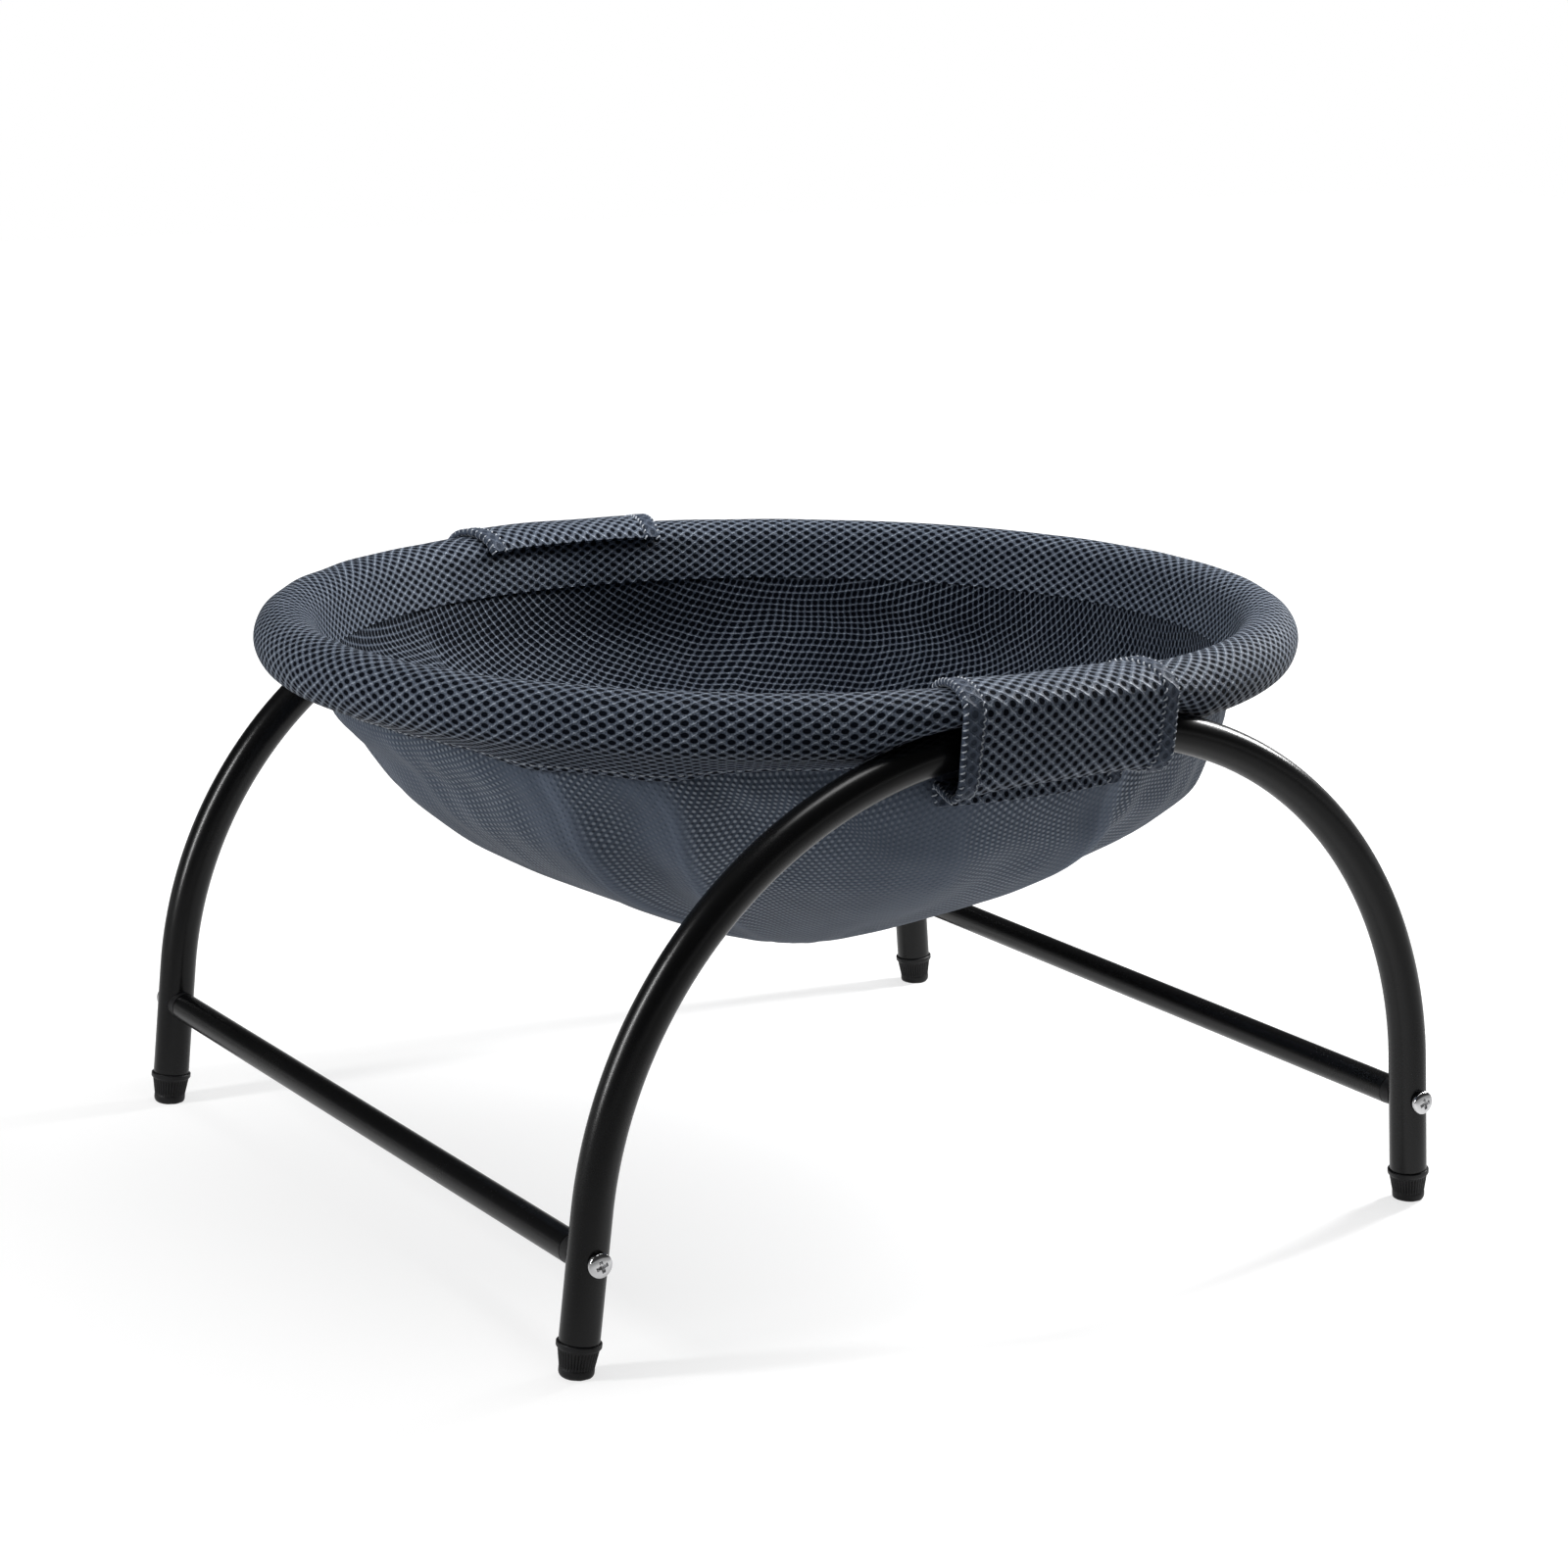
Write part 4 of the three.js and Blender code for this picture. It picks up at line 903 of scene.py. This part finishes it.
def strap(rear, name, rows=150):
    """A strap of double mesh: its sheet thickened each way, the hems along its edges folded over and a
    little thicker, with a sewn groove beside each hem and rounded edges."""
    sampled = [resample(path, rows, length) for path, length in zip(strap_paths, strap_ends)]
    path, run = (np.stack(part) for part in zip(*sampled))
    normal = left_of(unit(np.gradient(path, axis=1)))
    ahead = (STRAP_HALF - np.abs(strap_x))[:, None]
    edge = rounded(ahead, 1.2, 0.03) * rounded(strap_ends[:, None] - run, 1.1, 0.03) * rounded(run, 0.9, 0.05)
    hem = smooth(ahead, 8.4, 7.2)
    groove = np.exp(-((ahead - 8.3) / 0.7) ** 2)
    sway = 0.25 * np.sin(strap_x / 9.0)[:, None] * np.sin(run / 11.0)
    out = STRAP_THICK / 2 * edge * (1 + 0.5 * hem - 0.35 * groove) + sway * (1 - hem)
    back = STRAP_THICK / 2 * edge * (1 - 0.1 * groove)
    faces = (path + normal * out[..., None], path - normal * back[..., None])
    return strip(name, strap_section, strap_x, faces, run, rear)


def edge_thread(rear, name, place, aside, level, lift, radius=0.33, pitch=2.9):
    """The overlocked yarn along a line of the strap: a helix with one turn for each pitch, aside across the
    strap and lift along its normal, about a line that lies level above the middle of the cloth."""
    k = np.argmin(np.abs(strap_x - place))
    length = strap_ends[k] - 1.0
    path, run = resample(strap_paths[k], 12 * int(length / pitch) + 1, length)
    normal = left_of(unit(np.gradient(path, axis=0)))
    phase = run / pitch * 2 * math.pi
    swung = path + normal * (level + lift * np.sin(phase))[:, None]
    line = Rim(strap_section.angle[k:k + 1]).place(swung[None])[0]
    line[:, 0] += aside * np.cos(phase) + (place - strap_x[k]) * STRAP_NARROW
    return thread(name, turn_rear(line, rear), radius)


def bend(piece):
    """Bakes the piece's place into its mesh."""
    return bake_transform(piece)


def tape(name, inset, rear):
    """A strip of fastening tape on the wall: an upright band that follows the rim's curve, with rounded ends
    and edges."""
    x = np.linspace(-40, 40, 60)
    cut = corner_cut(x, 40, 2.5)
    high, low = (-26.0 - cut)[:, None], (-36.0 + cut)[:, None]
    height = high + (low - high) * np.linspace(0, 1, 14)
    half = TAPE_THICK / 2 * rounded(np.minimum(high - height, height - low), 0.4, 0.15)
    faces = (np.stack([-inset + half, height], -1), np.stack([-inset - half, height], -1))
    return strip(name, Rim(-np.arccos(x / HOOP_X)), x, faces, height, rear)


# The yarns of a strap: label, place across it, swing aside, level of its line and lift
YARNS = (("left_edge", -48.8, 0.95, 0.3, 1.5), ("left_hem", -42.0, 0.55, 1.15, 0.6),
         ("right_hem", 42.0, 0.55, 1.15, 0.6), ("right_edge", 48.8, 0.95, 0.3, 1.5))
LOOP_TAPE_IN = WALL_IN - SHELL_HALF - SEAT_GAP - TAPE_THICK / 2
HOOK_TAPE_IN = LOOP_TAPE_IN - TAPE_THICK - SEAT_GAP
straps, tapes = [], []
for rear, end in ENDS:
    solids = [end + "_flap", end + "_flap_tail"]
    body = bend(dress(strap(rear, end + "_strap"), strap_mesh, None, solids))
    threads = []
    for label, place, *swing in YARNS:
        made = edge_thread(rear, f"{end}_strap_{label}_thread", -place if rear else place, *swing)
        threads.append(bend(dress(made, sewing, None)))
    straps.append((body, threads))
    for kind, finish, inset, rider in (("loop", loop_tape, LOOP_TAPE_IN, "cot"),
                                       ("hook", hook_tape, HOOK_TAPE_IN, end + "_free_end")):
        made = tape(f"{end}_{kind}_tape", inset, rear)
        tapes.append(dress(made, finish, rider, [f"{end}_{kind}_strip"]))


# Sewing on the rim
def seam_stitches(name, points, outward, length=2.6, radius=0.3, lift=0.18, sink=0.12, rings=6, sides=5):
    """Short stitches along a closed line: most of every other stretch of the line, as thread that dips into
    the cloth at both ends. Each stitch is a tube of rings, and all are one mesh."""
    run = distance(closed(points))
    count = int(run[-1] / (length * 1.45))
    share = np.linspace(0, 1, rings)
    at = ((np.arange(count) * run[-1] / count)[:, None] + share * length) % run[-1]
    along_line = lambda rows: np.stack([np.interp(at, run, closed(rows)[:, k]) for k in range(3)], -1)
    line, face = along_line(points), unit(along_line(outward))
    line = line + face * (lift * np.sin(math.pi * share) - sink)[None, :, None]
    side = unit(np.cross(unit(line[:, -1:] - line[:, :1]), face))
    turn = full_turn(sides)[:, None]
    slim = radius * np.sqrt(np.clip(np.sin(math.pi * np.clip(share, 0.04, 0.96)), 0, 1))[None, :, None, None]
    tube = line[:, :, None] + slim * (np.cos(turn) * side[:, :, None] + np.sin(turn) * face[:, :, None])
    first = np.arange(count) * rings * sides
    i, j = np.meshgrid(np.arange(rings - 1) * sides, np.arange(sides), indexing="ij")
    after = (j + 1) % sides
    quad = np.stack([i + j, i + after, i + sides + after, i + sides + j], -1)
    quads = (first[:, None, None, None] + quad).reshape(-1, 4)
    start_cap = first[:, None] + np.arange(sides)[::-1]
    end_cap = first[:, None] + (rings - 1) * sides + np.arange(sides)
    mesh = bpy.data.meshes.new(name)
    faces = quads.tolist() + start_cap.tolist() + end_cap.tolist()
    mesh.from_pydata((tube.reshape(-1, 3) * MM).tolist(), [], faces)
    mesh.shade_smooth()
    return show(name, mesh)


hem_row = cover_line.shape[1] - 5
hem_out = cover_normal[:, hem_row]
hem_line = rim.place((cover_line[:, hem_row] + hem_out * COVER_THICK / 2)[:, None])[:, 0]
hem_outward = np.concatenate([hem_out[:, :1] * rim.outward, hem_out[:, 1:]], 1)
hem_seam = dress(seam_stitches("hem_stitches", hem_line, hem_outward), sewing)


# Floor and light
def floor_finish():
    """White floor that keeps the shadows. The camera sees a weak share of the light on it over a plain white
    glow, which grows to full white away from the cot, so the dimmer glow near the cot is a painted shade
    round it."""
    f = Finish("white_floor")
    camera_ray, glossy_ray = f.node("ShaderNodeLightPath", output=("Is Camera Ray", "Is Glossy Ray"))
    far = f.node("ShaderNodeVectorMath", {"operation": "LENGTH"}, [f.place()], "Value")
    matt = lambda grey: f.node("ShaderNodeBsdfDiffuse", inputs={"Color": (grey, grey, grey, 1)})
    lit, faint = matt(0.62), matt(0.36)
    mirrored = 1 - glossy_ray * (0.35 + far.step(0.27, 0.5) * 0.6)
    plain = (0.72 + far.step(0.35, 1.1) * 0.285) * mirrored
    glow = f.node("ShaderNodeEmission", inputs={"Color": (1, 1, 1, 1), "Strength": plain})
    shown = f.node("ShaderNodeAddShader", inputs=[faint, glow])
    return f.done(f.node("ShaderNodeMixShader", inputs=[camera_ray.greater(glossy_ray), lit, shown]))


FLOOR_HALF = 4.0
floor_mesh = bpy.data.meshes.new("floor")
floor_corners = [(x * FLOOR_HALF, y * FLOOR_HALF, 0.0) for x, y in ((-1, -1), (1, -1), (1, 1), (-1, 1))]
floor_mesh.from_pydata(floor_corners, [], [[0, 1, 2, 3]])
floor_mesh.materials.append(floor_finish())
show("floor", floor_mesh)

# The camera sees a white background, bright metal sees it darker towards the top, and it lights the cot a
# little
if bpy.context.scene.world is None:
    bpy.context.scene.world = bpy.data.worlds.new("studio")
sky = Finish(owner=bpy.context.scene.world)
rays = sky.node("ShaderNodeLightPath", output=("Is Camera Ray", "Is Glossy Ray", "Is Transmission Ray"))
way_out = sky.node("ShaderNodeTexCoord", output="Generated")
height = sky.node("ShaderNodeSeparateXYZ", inputs=[way_out], output="Z")
mirrored = rays[1].greater(rays[2])
dim = 1 - height.step(-0.2, 0.25) * 0.96
strength = rays[0].greater(mirrored * dim).greater((1 - mirrored) * 0.1)
background = sky.node("ShaderNodeBackground", inputs={"Color": (1, 1, 1, 1), "Strength": strength})
sky.done(background, "ShaderNodeOutputWorld")


def aim(thing, right, above, back, place):
    """Turns and places a lamp or a camera by its three axes."""
    rows = [[*row, p] for row, p in zip(np.stack([right, above, back], 1), place)]
    thing.matrix_world = Matrix(rows + [[0, 0, 0, 1]])
    return thing


def softbox(name, place, size, watts):
    """A studio light of size (wide, tall) in metres that faces the middle of the cot."""
    light = bpy.data.lights.new(name, "AREA")
    light.shape, light.size, light.size_y, light.energy = "RECTANGLE", *size, watts
    back = unit(np.array(place) - COT_MIDDLE)
    side = unit(np.cross([0, 0, 1.0] if abs(back[2]) < OVERHEAD else [0, 1.0, 0], back))
    return aim(show(name, light), side, np.cross(back, side), back, place)


COT_MIDDLE = np.array([0, 0, 0.15])
OVERHEAD = 0.99  # a lamp whose direction is steeper than this takes its side from +Y
softbox("overhead_box", (0.1, -0.12, 1.25), (0.9, 0.3), 6.6)
softbox("right_strip", (1.05, 0.1, 0.95), (0.16, 0.9), 29.0)
softbox("left_strip", (-1.5, 0.25, 0.8), (0.16, 0.9), 17.0)

# The camera, as fitted to the photograph in units of 8 mm and in pixels of a picture 1600 wide
CAMERA_UNIT, PICTURE_WIDE, SENSOR_WIDE = 0.008, 1600, 36.0
FOCAL = 3961.6372
AZIMUTH, ELEVATION, ROLL = -0.56645772, 0.23310249, 0.01920269
DISTANCE, SHIFT_X, SHIFT_Y = 216.197072, 0.70774713, 20.2316353
back = np.array([math.sin(AZIMUTH) * math.cos(ELEVATION), -math.cos(AZIMUTH) * math.cos(ELEVATION),
                 math.sin(ELEVATION)])
level = unit(np.cross(-back, [0, 0, 1.0]))
upright = np.cross(level, -back)
right = math.cos(ROLL) * level + math.sin(ROLL) * upright
above = math.cos(ROLL) * upright - math.sin(ROLL) * level
lens = bpy.data.cameras.new("camera")
lens.sensor_width, lens.lens = SENSOR_WIDE, FOCAL / PICTURE_WIDE * SENSOR_WIDE
lens.clip_start, lens.clip_end = 0.05, 50.0
place = (back * DISTANCE + SHIFT_X * right + SHIFT_Y * above) * CAMERA_UNIT
bpy.context.scene.camera = aim(show("camera", lens), right, above, back, place)
bpy.context.scene.view_settings.view_transform = "Standard"
